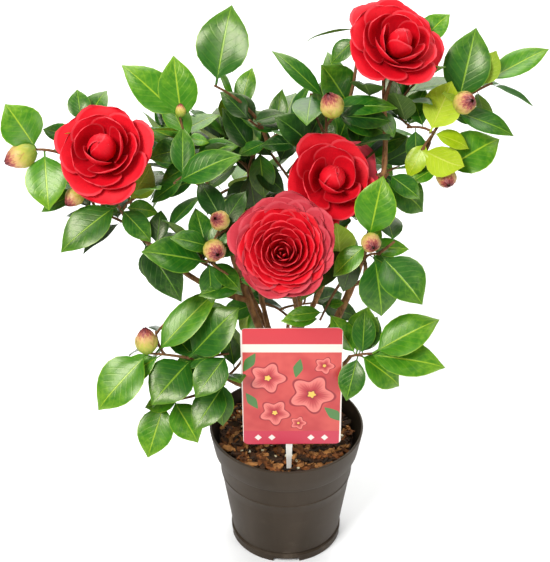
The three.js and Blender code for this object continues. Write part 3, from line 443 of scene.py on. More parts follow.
def bud_finish():
    """Scales that go from green at the bud's foot to dark crimson at its tip."""
    finish = Finish("bud scales", Coat_Roughness=0.3)
    chart = finish.chart("petal")
    across, along, _ = finish.parts(chart)
    patches = finish.noise(chart, 7.0)
    ladder = finish.ramp(
        along + (patches - 0.5) * 0.5, (0.05, rgb(0.17, 0.28, 0.02)), (0.4, rgb(0.42, 0.4, 0.05)),
        (0.66, rgb(0.6, 0.38, 0.13)), (0.8, rgb(0.42, 0.1, 0.07)), (0.92, rgb(0.13, 0.005, 0.01)))
    edge = (abs(across - 0.5) * 2).step(0.78, 1.0)
    return finish.wear(
        Base_Color=finish.mix(edge * 0.6, ladder, rgb(0.34, 0.13, 0.04)),
        Roughness=0.42 + patches * 0.2,
        Normal=finish.bump(patches, 0.3, 0.0008))


def bark_finish(name, dark, light, fissure, scale):
    """Fissured bark with pale corky spots."""
    finish = Finish(name, **DULL)
    where = finish.place()
    fine = finish.noise(where, scale, 6.0, 0.65, (1, 1, 0.3))
    broad = finish.noise(where, scale * 0.25)
    cork = finish.node("ShaderNodeTexVoronoi", {"feature": "F1"},
                       {"Vector": where, "Scale": scale * 1.8})
    spots = 1 - cork.step(0.1, 0.3)
    ground = finish.mix(fine.step(0.32, 0.68), dark, light)
    shaded = finish.mix(broad.step(0.4, 0.7) * 0.5, ground, fissure)
    return finish.wear(
        Base_Color=finish.mix(spots * 0.35, shaded, light),
        Roughness=0.62 + fine * 0.3,
        Normal=finish.bump(fine + spots * 0.4, 0.6, 0.0012))


def chip_finish(name, dark, light):
    """Split wood with its grain."""
    finish = Finish(name, **DULL)
    where = finish.place()
    grain = finish.noise(where, 420.0, 5.0, 0.6, (1, 0.35, 1))
    broad = finish.noise(where, 90.0, 2.0)
    ground = finish.mix(broad.step(0.3, 0.7), dark, light)
    return finish.wear(
        Base_Color=finish.mix(grain.step(0.5, 0.8) * 0.5, ground, light),
        Roughness=0.7 + grain * 0.25,
        Normal=finish.bump(grain, 0.7, 0.0012))


def compost_finish():
    finish = Finish("compost")
    crumbs = finish.noise(finish.place(), 520.0, 6.0, 0.7)
    return finish.wear(
        Base_Color=finish.ramp(crumbs, (0.3, rgb(0.01, 0.005, 0.003)), (0.55, rgb(0.05, 0.022, 0.01)),
                               (0.8, rgb(0.16, 0.075, 0.03))),
        Roughness=0.75 + crumbs * 0.2,
        Normal=finish.bump(crumbs, 0.9, 0.003))


def pot_finish():
    """Dark moulded plastic: faint upright flow marks, a fine grain and a little dust low down."""
    finish = Finish("pot plastic", **DULL)
    where = finish.place()
    grain = finish.noise(where, 900.0, 2.0)
    flow = finish.noise(where, 34.0, 3.0, 0.5, (1, 1, 0.12))
    dust = finish.noise(where, 60.0, 5.0, 0.65)
    low = 1 - finish.parts(where)[2].step(0.004, 0.05)
    ground = finish.mix(flow.step(0.3, 0.7), rgb(0.025, 0.017, 0.01), rgb(0.039, 0.028, 0.019))
    dusty = finish.mix(dust.step(0.52, 0.75) * (0.1 + low * 0.25), ground, rgb(0.13, 0.1, 0.075))
    return finish.wear(
        Base_Color=dusty,
        Roughness=0.46 + flow * 0.1 + dust * 0.1,
        Normal=finish.bump(grain * 0.3 + flow, 0.12, 0.0008))


def stake_finish():
    """Off-white moulded plastic, soiled where it stands in the mulch."""
    finish = Finish("stake plastic")
    where = finish.place()
    marks = finish.noise(where, 160.0, 4.0, 0.6, (1, 1, 0.2))
    low = 1 - finish.parts(where)[2].step(0.122, 0.14)
    return finish.wear(
        Base_Color=finish.mix(marks.step(0.5, 0.8) * (0.15 + low * 0.6), rgb(0.74, 0.72, 0.66),
                              rgb(0.3, 0.22, 0.14)),
        Roughness=0.38 + marks * 0.15,
        Normal=finish.bump(marks, 0.15, 0.0006))


# The label's bands by height above its foot, each with its colour, and the pips on its foot band
# by their place across. Its leaves and blossoms are [across, up, radius, turn]. All are in shares
# of its width.
CARD_GROUND = (rgb(0.46, 0.026, 0.028), rgb(0.58, 0.07, 0.056))
CARD_FOOT = {"top": 0.17, "colour": rgb(0.53, 0.02, 0.055), "pips": (-0.34, -0.2, 0.2, 0.34),
             "pip": rgb(0.78, 0.7, 0.64)}
CARD_BANDS = ((1.14, rgb(0.78, 0.68, 0.6)), (1.235, rgb(0.55, 0.022, 0.034)))
CARD_LEAVES = ((-0.42, 1.02, 0.13, 0.5), (0.43, 0.38, 0.14, 2.3), (-0.4, 0.55, 0.12, 2.6),
               (0.06, 0.95, 0.12, 0.2))
CARD_BLOSSOMS = ((-0.24, 0.83, 0.2, 0.2), (0.2, 0.63, 0.25, 0.7), (-0.17, 0.4, 0.17, 1.1),
                 (0.32, 0.98, 0.11, 0.4), (0.07, 0.27, 0.09, 0.0))
BLOSSOM = {"deep": rgb(0.4, 0.012, 0.022), "pale": rgb(0.74, 0.18, 0.15),
           "outline": rgb(0.27, 0.006, 0.014), "eye": rgb(0.8, 0.5, 0.08)}
PRINT_BLUR = 0.004


def card_finish():
    """A printed card: a red head band, a cream stripe, blossoms on coral and a rose foot band."""
    finish = Finish("label print", Coat_Weight=0.3, Coat_Roughness=0.25)
    where = finish.place()
    east, _, height = finish.parts(where)
    width = LABEL["width"] * MM
    across = (east - LABEL["x"] * MM) / width
    up = (height - LABEL["foot"] * MM) / width
    tint = finish.noise(where, 45.0, 2.0)

    def above(line):
        return up.step(line - PRINT_BLUR, line + PRINT_BLUR)

    colour = finish.mix(tint.step(0.3, 0.7), *CARD_GROUND)
    for x, y, size, turn in CARD_LEAVES:
        colour = finish.mix(oval(across - x, up - y, size, turn), colour, rgb(0.06, 0.18, 0.035))
    for x, y, size, turn in CARD_BLOSSOMS:
        colour = blossom(finish, colour, across - x, up - y, size, turn)
    colour = finish.mix(1 - above(CARD_FOOT["top"]), colour, CARD_FOOT["colour"])
    for x in CARD_FOOT["pips"]:
        off = abs(across - x) + abs(up - CARD_FOOT["top"] / 2)
        colour = finish.mix(1 - off.step(0.034, 0.04), colour, CARD_FOOT["pip"])
    for line, band in CARD_BANDS:
        colour = finish.mix(above(line), colour, band)
    edge = (abs(across) * 2).step(0.972, 0.98)
    return finish.wear(
        Base_Color=finish.mix(edge, colour, rgb(0.78, 0.7, 0.63)),
        Roughness=0.34 + tint * 0.12,
        Normal=finish.bump(finish.noise(where, 700.0, 2.0), 0.05, 0.0004))


def oval(x, y, size, turn):
    """A pointed leaf shape as a mask."""
    along = x * math.sin(turn) + y * math.cos(turn)
    off = x * math.cos(turn) - y * math.sin(turn)
    return 1 - (abs(along) ** 1.4 / size ** 1.4 + abs(off) / (size * 0.42)).step(0.94, 1.0)


def blossom(finish, under, x, y, size, turn):
    """A five-petalled blossom with a yellow eye, printed over what is under it."""
    angle = y.maths("ARCTAN2", x)
    lobes = (angle * 5 + turn).maths("COSINE") * 0.16 + 0.84
    reach = (x * x + y * y) ** 0.5 / lobes / size
    streaks = (angle * 30).maths("COSINE") * 0.5 + 0.5
    petal = finish.mix(reach.step(0.25, 0.85), BLOSSOM["deep"], BLOSSOM["pale"])
    petal = finish.mix(streaks * (1 - reach.step(0.45, 0.9)) * 0.5, petal, BLOSSOM["deep"])
    colour = finish.mix(1 - reach.step(0.97, 1.03), under, BLOSSOM["outline"])
    colour = finish.mix(1 - reach.step(0.88, 0.92), colour, petal)
    colour = finish.mix(1 - reach.step(0.24, 0.28), colour, BLOSSOM["outline"])
    return finish.mix(1 - reach.step(0.15, 0.19), colour, BLOSSOM["eye"])


def floor_finish():
    finish = Finish("studio floor")
    cloud = finish.noise(finish.place(), 3.0, 2.0)
    return finish.wear(Base_Color=finish.mix(cloud, rgb(0.86, 0.86, 0.86), rgb(0.88, 0.88, 0.88)),
                       Roughness=0.8 + cloud * 0.1)


# ---- the rule of growth ----------------------------------------------------------------------


def at_angle(degrees):
    return math.radians(degrees)


UP = Vector((0, 0, 1))
ACROSS = Vector((1, 0, 0))
DIAL_UP = Vector((0, math.sin(at_angle(DIAL_TILT)), math.cos(at_angle(DIAL_TILT))))
TO_FRONT = Vector((0, -math.cos(at_angle(DIAL_TILT)), math.sin(at_angle(DIAL_TILT))))
LIGHT = (TO_FRONT + UP).normalized()
SEED_TURN, SEED_ROUND = 48271, 2147483647
STRAIGHT_RUN = 30
HOUR = 30                        # degrees

seed = 1
placed = []                      # every solid, twig, leaf and bud that what grows must clear


def sow(value):
    global seed
    seed = value


def draw(low, high):
    global seed
    seed = (seed * SEED_TURN) % SEED_ROUND
    return low + (high - low) * seed / SEED_ROUND


def any_turn():
    """An angle from all the way round, in radians."""
    return draw(0, 6.28)


def blend(pair, share):
    return pair[0] + (pair[1] - pair[0]) * share


def turned(vector, axis, degrees):
    return Quaternion(axis, at_angle(degrees)) @ vector


def hand_of_clock(hour, lean):
    turn, tip = at_angle(hour * HOUR), at_angle(lean)
    hand = ACROSS * math.sin(turn) + DIAL_UP * math.cos(turn)
    return hand * math.cos(tip) + TO_FRONT * math.sin(tip)


def square_to(axis, towards):
    square = towards - axis * towards.dot(axis)
    return square.normalized() if square.length > 1e-3 else square_to(axis, ACROSS)


class Bend:
    """A curve of three points, built as so many straight runs."""

    def __init__(self, start, middle, end, steps=None):
        self.start, self.middle, self.end = Vector(start), Vector(middle), Vector(end)
        self.steps = steps or round(self.length() / STRAIGHT_RUN) + 1

    def point(self, t):
        return (self.start * (1 - t) ** 2 + self.middle * (2 * t * (1 - t)) + self.end * t ** 2)

    def tangent(self, t):
        return ((self.middle - self.start) * (1 - t) + (self.end - self.middle) * t).normalized()

    def length(self):
        points = [self.point(i / 20) for i in range(21)]
        return sum((b - a).length for a, b in zip(points, points[1:]))

    def on_run(self, t):
        run = min(self.steps - 1, math.floor(t * self.steps))
        a, b = self.point(run / self.steps), self.point((run + 1) / self.steps)
        return a.lerp(b, t * self.steps - run)

    def rings(self, radius_at, sides, steps, grow=0.0, start=0.0, end=1.0):
        """Rings of points round the curve, from start to end."""
        side = square_to(self.tangent(start), ACROSS)
        rings = []
        for i in range(steps + 1):
            t = start + (end - start) * i / steps
            tangent = self.tangent(t)
            side = square_to(tangent, side)
            other = tangent.cross(side)
            rings.append([self.point(t) + (side * math.cos(turn) + other * math.sin(turn))
                          * (radius_at(t) + grow)
                          for turn in (2 * math.pi * k / sides for k in range(sides))])
        return rings


def ring_faces(rings, sides, first=0):
    """The faces that join rings into a closed tube."""
    faces = []
    for row in range(rings - 1):
        for k in range(sides):
            a, b = first + row * sides + k, first + row * sides + (k + 1) % sides
            faces.append((a, b, b + sides, a + sides))
    faces.append(tuple(first + k for k in reversed(range(sides))))
    faces.append(tuple(first + (rings - 1) * sides + k for k in range(sides)))
    return faces


def grow_limbs():
    foot = Vector((TRUNK["lean"], 0, SOIL_TOP + GAP))
    middle = Vector((TRUNK["lean"], 0, (foot.z + FORK[2]) / 2))
    limbs = {"trunk": Bend(foot, middle, FORK, 6)}
    for name, (parent, share, tip, bow, radii) in BOUGHS.items():
        start = limbs[parent].on_run(share)
        middle = start.lerp(Vector(tip), 0.5) + Vector(bow) * 2
        limbs[name] = Bend(start, middle, tip)
    return limbs


class Leaf:
    """One leaf: its foot in the twig, its direction, the normal of its blade and its size."""

    def __init__(self, root, along, normal, length, width, tone=1):
        self.root, self.along, self.normal = root, along, normal
        self.length, self.width, self.tone = length, width, tone

    def swung(self, tip, swing):
        axis = self.along.cross(self.normal)
        turn = Quaternion(self.normal, at_angle(swing)) @ Quaternion(axis, at_angle(tip))
        return Leaf(self.root, turn @ self.along, turn @ self.normal, self.length, self.width,
                    self.tone)

    def tip(self):
        return self.root + self.along * self.length

    def middle(self, t):
        return self.root + self.along * (t * self.length) - self.normal * (
            LEAF["droop"] * self.length * t * t)

    def hull(self, foot=0.0):
        """A plain kite with a keel, for telling what the leaf would touch."""
        side = self.along.cross(self.normal)
        keel = max(self.length * LEAF["thick"], 0.8)
        low = foot / self.length
        points = [self.middle(low)]
        for t, half in ((low + LEAF["petiole"] * (1 - low), 0.8),
                        (low + LEAF["broad"] * (1 - low), self.width / 2)):
            lift = self.normal * (half * LEAF["fold"] + GAP)
            points += [self.middle(t) + side * (half + GAP) + lift,
                       self.middle(t) - self.normal * (keel + GAP),
                       self.middle(t) - side * (half + GAP) + lift]
        points.append(self.middle(1))
        faces = [(0, 2, 1), (0, 3, 2), (0, 1, 3), (7, 4, 5), (7, 5, 6), (7, 6, 4)]
        faces += [(1, 2, 5, 4), (2, 3, 6, 5), (3, 1, 4, 6)]
        return points, faces


class Obstacle:
    def __init__(self, owner, points, faces, twig=False):
        self.owner, self.twig = owner, twig
        self.tree = BVHTree.FromPolygons([tuple(p) for p in points], faces)
        self.low = [min(p[i] for p in points) for i in range(3)]
        self.high = [max(p[i] for p in points) for i in range(3)]

    def meets(self, other):
        apart = any(self.low[i] > other.high[i] or other.low[i] > self.high[i] for i in range(3))
        return not apart and bool(self.tree.overlap(other.tree))


def node_obstacle(node):
    """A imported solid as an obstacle, in millimetres."""
    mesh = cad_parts[node].data
    return Obstacle(node, [v.co / MM for v in mesh.vertices], [p.vertices[:] for p in mesh.polygons])


class Mass:
    """A mass of foliage: its twigs, leaves and buds."""

    def __init__(self, name, limbs):
        self.name = name
        self.bough, self.back, self.room, self.tones, self.shoots = MASSES[name]
        self.limb = limbs[self.bough]
        tips = [Vector(tip) for tip, _, _ in self.shoots]
        self.middle = sum(tips, Vector()) / len(tips)
        self.twigs, self.leaves, self.buds = [], [], []

    def touches(self, whole, outer=None):
        """What a part would touch: nothing, only its own mass, or something else."""
        own = False
        for other in placed:
            if other.owner == self.bough or (other.owner == self.name and other.twig):
                continue
            tested = (outer or whole) if other.owner == self.name else whole
            if tested.meets(other):
                if other.owner != self.name:
                    return "other"
                own = True
        return "own" if own else "nothing"

    def fork_for(self, tip):
        best, low = None, None
        for twig in self.twigs:
            for step in range(TWIG["forks"]):
                t = TWIG["first_fork"] + TWIG["fork_step"] * step
                point = twig.on_run(t)
                if (point - self.limb.point(1)).length < TWIG["clear_of_bough"]:
                    continue
                cost = (point - tip).length + 2 * max(0, point.z - tip.z + TWIG["free_fall"])
                if best is None or cost < low:
                    best, low = (point, twig.tangent(t), twig, t), cost
        return best or (self.limb.point(1), self.limb.tangent(1), None, 0.0)

    def twig_to(self, tip):
        point, tangent, parent, share = self.fork_for(tip)
        reach = (tip - point).length
        steps = max(2, round(reach / TWIG["step"]))
        for i in range(SWAY_TRIES):
            sway = Vector((draw(-1, 1), draw(-1, 1), draw(-1, 1))) * (reach * TWIG["sway"] * (1 + i))
            leaving = point + tangent * (reach * TWIG["leaving"])
            middle = leaving.lerp(tip, TWIG["bend_at"]) + sway
            twig = Bend(point, middle, tip, steps)
            twig.radius = lambda t, reach=reach: TWIG["tip"] + TWIG["growth"] * reach * (1 - t)
            rings = twig.rings(twig.radius, 3, steps, GAP, min(0.5, TWIG["foot"] / reach))
            hull = Obstacle(self.name, sum(rings, []), ring_faces(steps + 1, 3), True)
            if self.touches(hull) == "other":
                continue
            placed.append(hull)
            self.twigs.append(twig)
            twig.used = 1.0
            if parent:
                parent.used = max(parent.used, share)
            return twig
        return None

    def root_share(self, twig, k, spacing):
        return max(TWIG["first_leaf"], TWIG["last_leaf"] - k * spacing / twig.length())

    def place_leaf(self, leaf, chosen):
        room = self.room if chosen else self.room - BACK["margin"]
        crowded = None
        for k, (tip, swing) in enumerate(TRIES):
            if chosen and crowded and k >= PATIENCE:
                break
            tried = leaf.swung(tip, swing)
            if (tried.tip() - self.middle).length > room:
                continue
            whole = Obstacle(self.name, *tried.hull())
            outer = Obstacle(self.name, *tried.hull(LEAF["clear_foot"]))
            found = self.touches(whole, outer)
            if found == "nothing":
                return self.keep_leaf(tried, whole)
            if found == "own":
                crowded = crowded or (tried, whole)
        return self.keep_leaf(*crowded) if crowded and chosen else None

    def keep_leaf(self, leaf, hull):
        placed.append(hull)
        self.leaves.append(leaf)

    def grow_buds(self, shoot, twig):
        for hour, size, lean in shoot[2]:
            along = hand_of_clock(hour, lean)
            self.buds.append((twig.on_run(1), along, size))
            stub = Leaf(twig.on_run(1), along, square_to(along, LIGHT), size, size * BUD_SHARE)
            placed.append(Obstacle(self.name, *stub.hull()))

    def grow_leaves(self, shoot, twig, tone):
        for k, (hour, length, width, *rest) in enumerate(shoot[1]):
            lean = rest[0] if rest else LEAF["lean"]
            roll = rest[1] if len(rest) > 1 else 0
            along = hand_of_clock(hour, lean)
            normal = turned(square_to(along, LIGHT), along, roll)
            root = twig.on_run(self.root_share(twig, k, TWIG["internode"]))
            self.place_leaf(Leaf(root, along, normal, length, width, tone), True)

    def grow_back_shoot(self, index, fronts, tone):
        twig = self.twigs[math.floor(draw(0, fronts))]
        foot = twig.on_run(draw(0.45, 0.9))
        azimuth = at_angle(90 - BACK["sweep"] / 2 + (index * GOLDEN) % BACK["sweep"])
        rise = at_angle(draw(BACK["low"], BACK["high"]))
        heading = Vector((math.cos(azimuth) * math.cos(rise), math.sin(azimuth) * math.cos(rise),
                          math.sin(rise)))
        tip = foot + heading * draw(BACK["near"], BACK["far"])
        if (tip - self.middle).length > self.room - BACK["margin"]:
            return
        shoot = self.twig_to(tip)
        if not shoot:
            return
        axis = shoot.tangent(1)
        side = square_to(axis, UP)
        shoot.used = 0.0                 # bare past its outermost leaf, a shoot is drawn no further
        for k in range(BACK["leaves"]):
            round_it = turned(side, axis, k * GOLDEN + index * 40)
            pitch = at_angle(BACK["pitch"] + BACK["pitch_step"] * k)
            along = axis * math.cos(pitch) + round_it * math.sin(pitch)
            length = draw(BACK["short"], BACK["long"])
            share = self.root_share(shoot, k, BACK["spacing"])
            held = len(self.leaves)
            self.place_leaf(Leaf(shoot.on_run(share), along, square_to(along, UP + axis * 0.2),
                                 length, length * LEAF["width_share"], tone), False)
            if len(self.leaves) > held:
                shoot.used = max(shoot.used, share)
        if not shoot.used:
            placed.pop()
            self.twigs.pop()


def grow_crown(limbs):
    """Every mass, its front shoots first and then its back shoots, in the order of the table."""
    masses = [Mass(name, limbs) for name in MASSES]
    shoots = []
    for i, mass in enumerate(masses):
        for k, shoot in enumerate(mass.shoots):
            sow(SEED + SOWN["mass"] * i + k)
            twig = mass.twig_to(Vector(shoot[0]))
            if twig:
                shoots.append((mass, shoot, twig, mass.tones[k % len(mass.tones)]))
    for mass, shoot, twig, _ in shoots:
        mass.grow_buds(shoot, twig)
    for mass, shoot, twig, tone in shoots:
        mass.grow_leaves(shoot, twig, tone)
    for i, mass in enumerate(masses):
        fronts = len(mass.twigs)
        for k in range(mass.back + FINER_SHOOTS):
            sow(SEED + SOWN["mass"] * i + SOWN["back"] + k)
            mass.grow_back_shoot(k, fronts, BACK_SHADE_TONES[(i + k) % len(BACK_SHADE_TONES)])
    return masses


# ---- meshes of many small parts --------------------------------------------------------------


class Heap:
    """Vertices, faces and charts of many small parts that become one mesh, in millimetres."""

    def __init__(self, *layers):
        self.points, self.faces, self.slots = [], [], []
        self.layers = {layer: [] for layer in layers}

    def add(self, points, faces, slots, **charts):
        """slots holds each face's material, and charts each layer's place of each face's corners."""
        first = len(self.points)
        self.points += points
        self.faces += [tuple(first + i for i in face) for face in faces]
        self.slots += slots
        for layer, corners in charts.items():
            self.layers[layer] += corners

    def add_rings(self, rings, slot=0):
        """Adds a closed tube."""
        faces = ring_faces(len(rings), len(rings[0]))
        self.add(sum(rings, []), faces, [slot] * len(faces))

    def piece(self, name, materials, smooth=60):
        mesh = bpy.data.meshes.new(name)
        mesh.from_pydata([p * MM for p in self.points], [], self.faces)
        for layer, corners in self.layers.items():
            chart = mesh.uv_layers.new(name=layer)
            chart.data.foreach_set("uv", [value for corner in corners for value in corner])
        for material in materials:
            mesh.materials.append(material)
        mesh.polygons.foreach_set("material_index", self.slots)
        mesh.validate()
        piece = bpy.data.objects.new(name, mesh)
        bpy.context.scene.collection.objects.link(piece)
        smooth_over(piece, smooth)
        return piece


class Sheet:
    """The grid of a thin two-sided sheet: an upper and an under side that share their rim, with
    a point at the tip. Both sides are cut along the same diagonals, so that neither shows through
    the other. Each spot is its share along the sheet, its place across it from -1 to 1, and
    whether it lies as low as the under side, as the rim does too."""

    def __init__(self, shares, columns):
        rows, number = len(shares) - 1, {}
        self.spots, self.faces = [], []
        for under in (False, True):
            for row in range(rows):
                for column in range(columns + 1):
                    rim = column in (0, columns) or row == 0
                    if rim and under:
                        number[True, row, column] = number[False, row, column]
                        continue
                    number[under, row, column] = len(self.spots)
                    self.spots.append((shares[row], column / columns * 2 - 1, under or rim))
        for under in (False, True):
            number[under, rows, 0] = len(self.spots)
            for row in range(rows - 1):
                for column in range(columns):
                    near, far = (row, column), (row + 1, column + 1)
                    self.add_face(number, under, near, (row, column + 1), far)
                    self.add_face(number, under, near, far, (row + 1, column))
            for column in range(columns):
                self.add_face(number, under, (rows - 1, column), (rows - 1, column + 1), (rows, 0))
        self.spots.append((shares[rows], 0.0, False))

    def add_face(self, number, under, *corners):
        face = tuple(number[(under, *corner)] for corner in corners)
        self.faces.append((face[::-1] if under else face, under))

    def add_to(self, heap, layer, point_at, chart_at, bake_at, slot_of):
        """Adds one part of this grid: its places, its own chart, where that chart is baked, and
        the slot of each side."""
        charts = [chart_at(along, across) for along, across, _ in self.spots]
        corners = [(charts[k], under) for face, under in self.faces for k in face]
        heap.add([point_at(*spot) for spot in self.spots], [face for face, _ in self.faces],
                 [slot_of(under) for _, under in self.faces],
                 **{layer: [chart for chart, _ in corners],
                    "OFBake": [bake_at(*chart, under) for chart, under in corners]})


def in_cell(share, cell, cells, margin=0.02):
    """A share of a chart, laid in one of so many cells side by side on the bake map."""
    return (cell + margin + (1 - 2 * margin) * share) / cells


# A leaf's outline: its half width as a share of the broadest, by the share along it.
BLADE = {0.0: 0.045, 0.1: 0.05, 0.15: 0.26, 0.22: 0.58, 0.32: 0.86, 0.44: 0.99, 0.56: 1.0,
         0.68: 0.89, 0.78: 0.69, 0.87: 0.43, 0.935: 0.2, 0.975: 0.08, 1.0: 0.0}
BLADE_SHEET = Sheet(tuple(BLADE), 4)
OTHER_SIDE = 1.6                 # how far the rim's wave on one side runs ahead of the other

# The blade's thickness in millimetres, how much its tip curls and it twists, its fold along the
# midrib and how that opens towards the tip, its belly, the waves of its rim, where its tip starts
# to curl and how far, and what its fold takes off its width.
BLADE_FORM = {"thick": 0.35, "curl": (0.6, 1.5), "twist": 0.16, "fold": 0.24, "opens": 0.6,
              "belly": 0.12, "wave": 0.05, "waves": 9, "tip": 0.72, "tip_curl": 0.6, "pull": 0.97}


def add_leaf(heap, leaf):
    """One leaf in its tone, its upper side in the tone's even slot and its under side in the odd.
    Its blade is folded along its midrib and waved at its rim, and its tip curls down."""
    side = leaf.along.cross(leaf.normal)
    form = BLADE_FORM
    phase, curl, twist = any_turn(), draw(*form["curl"]), draw(-form["twist"], form["twist"])

    def point_at(t, across, under):
        half = BLADE[t] * leaf.width / 2
        off_rib = half * abs(across)
        sag = LEAF["droop"] * t * t + form["tip_curl"] * max(0.0, t - form["tip"]) ** 2
        start = phase + (OTHER_SIDE if across > 0 else 0)
        lift = (form["fold"] * off_rib * (1.1 - form["opens"] * t)
                + form["wave"] * off_rib * math.sin(form["waves"] * t + start)
                + form["belly"] * half * math.sin(math.pi * abs(across))
                + twist * t * half * across - sag * leaf.length * curl)
        return (leaf.root + leaf.along * (t * leaf.length) + side * (half * across * form["pull"])
                + leaf.normal * (lift - (form["thick"] if under else 0.0)))

    BLADE_SHEET.add_to(
        heap, "blade", point_at,
        lambda t, across: (0.5 + 0.5 * across, t),
        lambda u, v, under: (in_cell(u, leaf.tone, TONES, 0.03), in_cell(v, under, 2)),
        lambda under: leaf.tone * 2 + under)


# ---- petals and buds -------------------------------------------------------------------------

PETAL_ROUND = 0.56               # past this share of its length a petal's outline rounds over
PETAL_BLUNT = 2.5                # 2 rounds it to a half circle, more squares it off
PETAL_ROLLS = 0.6                # past this share of its length a petal's rim rolls back
PETAL_SHEET = Sheet((0.0, 0.16, 0.32, 0.46, 0.58, 0.69, 0.8, 0.89, 0.95, 0.985, 1.0), 8)

# A petal's thickness in millimetres, the notch at its tip, how an open one is cupped, how far one
# edge tucks under the next petal, and the waves of its rim.
PETAL_FORM = {"thick": 0.5, "notch": 0.025, "cup": 0.16, "tuck": (0.03, 0.07), "wave": 0.035,
              "waves": 2.2}

# A bloom's seat below its centre, how much its outer petals are set apart in height, the room
# round a closed ball, how much petals vary, and how soon they narrow away from the heart. The ball
# has its petals' half angle, the radius and closing of the first, and the steps to the next.
BLOOM_RULE = {"seat": 0.3, "layers": 0.12, "room": 1.2, "sway": 0.08, "vary": (0.97, 1.03),
              "narrows": 0.6}
BALL = {"wrap": 108, "rim": 0.82, "rim_step": 0.08, "close": 1.13, "close_step": 0.1}


def petal_share(t):
    """A petal's half width at a share of its length."""
    top = max(0.0, t - PETAL_ROUND) / (1 - PETAL_ROUND)
    return max(0.0, 1 - top ** PETAL_BLUNT) ** (1 / PETAL_BLUNT)


class Bowl:
    """The bowl that a petal is cut from: the radius and height of its rim, how far it closes
    past upright, how far its rim rolls back, and which part of the way round it covers."""

    def __init__(self, seat, facing, turn, wrap, rim, height, close, roll):
        self.seat, self.facing = seat, facing
        self.side = square_to(facing, UP)
        self.other = facing.cross(self.side)
        self.turn, self.wrap, self.rim, self.height = turn, wrap, rim, height
        self.end = math.pi / 2 * (1 + close)
        self.roll = roll
        self.cup = PETAL_FORM["cup"] * max(0.0, -close)
        self.tuck, self.phase = draw(*PETAL_FORM["tuck"]), any_turn()

    def point_at(self, t, across, under):
        angle = self.turn + self.wrap * across * petal_share(t)
        steep = self.end * t
        widest = max(math.sin(min(self.end, math.pi / 2)), 0.01)
        over = max(0.0, t - PETAL_ROLLS) / (1 - PETAL_ROLLS)
        notch = PETAL_FORM["notch"] * over * over * (1 - abs(across)) ** 4
        out = self.rim * (math.sin(steep) / widest * (1 + self.tuck * across) - notch)
        wave = PETAL_FORM["wave"] * t ** 3 * math.sin(PETAL_FORM["waves"] * across + self.phase)
        rise = (self.height * (1 - math.cos(steep)) / (1 - math.cos(self.end))
                - self.roll * over * over + self.rim * (self.cup * across * across * t + wave))
        radial = self.side * math.cos(angle) + self.other * math.sin(angle)
        outward = radial * math.sin(steep) - self.facing * math.cos(steep)
        inset = PETAL_FORM["thick"] if under else 0.0
        return self.seat + radial * out + self.facing * rise + outward * inset


def add_bloom(heap, centre, radius, faces, form):
    """Petals set by the golden angle, from a closed heart out to broad, nearly flat ones."""
    plan = FORMS[form]
    ball, heart = plan["ball"], plan["heart"]
    facing = hand_of_clock(*faces)
    seat = Vector(centre) - facing * (radius * BLOOM_RULE["seat"])
    start = any_turn()
    for k in range(plan["petals"]):
        share = max(0.0, (k - ball) / (plan["petals"] - 1 - ball))
        grown = share ** plan["growth"]
        layer = BLOOM_RULE["layers"] * share
        rim = blend((heart * (BLOOM_RULE["room"] if ball else 1.0), 1), grown)
        wrap = blend(plan["wrap"], grown ** BLOOM_RULE["narrows"])
        close = blend(plan["close"], grown ** plan["open"])
        if k < ball:
            rim, wrap = heart * (BALL["rim"] + BALL["rim_step"] * k), BALL["wrap"]
            close = BALL["close"] - BALL["close_step"] * k
        sunk = facing * (radius * layer) + DIAL_UP * (radius * plan["sink"] * (1 - grown))
        bowl = Bowl(seat - sunk, facing,
                    start + at_angle(k * GOLDEN) + draw(-BLOOM_RULE["sway"], BLOOM_RULE["sway"]),
                    at_angle(wrap), radius * plan["reach"] * rim * draw(*BLOOM_RULE["vary"]),
                    radius * (blend(plan["heights"], grown) + layer) * draw(*BLOOM_RULE["vary"]),
                    close, radius * plan["roll"] * share)
        add_petal(heap, bowl, 1 if k >= plan["petals"] - plan["guard"] else 0)


def add_petal(heap, bowl, slot):
    PETAL_SHEET.add_to(
        heap, "petal", bowl.point_at,
        lambda t, across: (0.5 + 0.5 * across * petal_share(t), t),
        lambda u, v, under: (in_cell(u, slot, 2), in_cell(v, 0, 1)),
        lambda under: slot)


# Whorls from the innermost: the scales, where they start and end, their swell and overlap.
BUD_WHORLS = ((5, 0.24, 1.0, 0.9, 2.1), (5, 0.1, 0.9, 0.97, 1.5), (4, 0.0, 0.66, 1.04, 1.3))
SCALE_SHEET = Sheet(tuple(k / 6 for k in range(7)), 4)
SCALE_THICK = 0.5


def add_bud(heap, root, along, size):
    """A bud of scales in three whorls that close over one another round an egg."""
    side = square_to(along, UP)
    for whorl, (scales, low, high, swell, overlap) in enumerate(BUD_WHORLS):
        for k in range(scales):
            add_scale(heap, root, along, side, size, size * BUD_SHARE * swell, (low, high),
                      2 * math.pi * (k + whorl * 0.4) / scales, math.pi * overlap / scales)


def add_scale(heap, root, along, side, size, width, reach, turn, spread):
    """One scale, cut out of the bud's egg from one height to another."""
    def point_at(t, across, under):
        up = blend(reach, t)
        bulge = math.sin(math.pi * (0.06 + 0.92 * up) ** 0.9) ** 0.72
        broad = math.sin(math.pi * (0.3 + 0.68 * t)) ** 0.6
        out = turned(side, along, math.degrees(turn + across * spread * broad))
        return root + along * (up * size) + out * (
            width / 2 * bulge - (SCALE_THICK if under else 0.0))

    SCALE_SHEET.add_to(
        heap, "petal", point_at,
        lambda t, across: (0.5 + 0.5 * across, blend(reach, t)),
        lambda u, v, under: (in_cell(u, 0, 1), in_cell(v, 0, 1)),
        lambda under: 0)


# ---- pieces ----------------------------------------------------------------------------------


def dress(piece, node):
    """Has a piece ride on the one body and take a node's place."""
    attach(piece, ROOT)
    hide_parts(node)


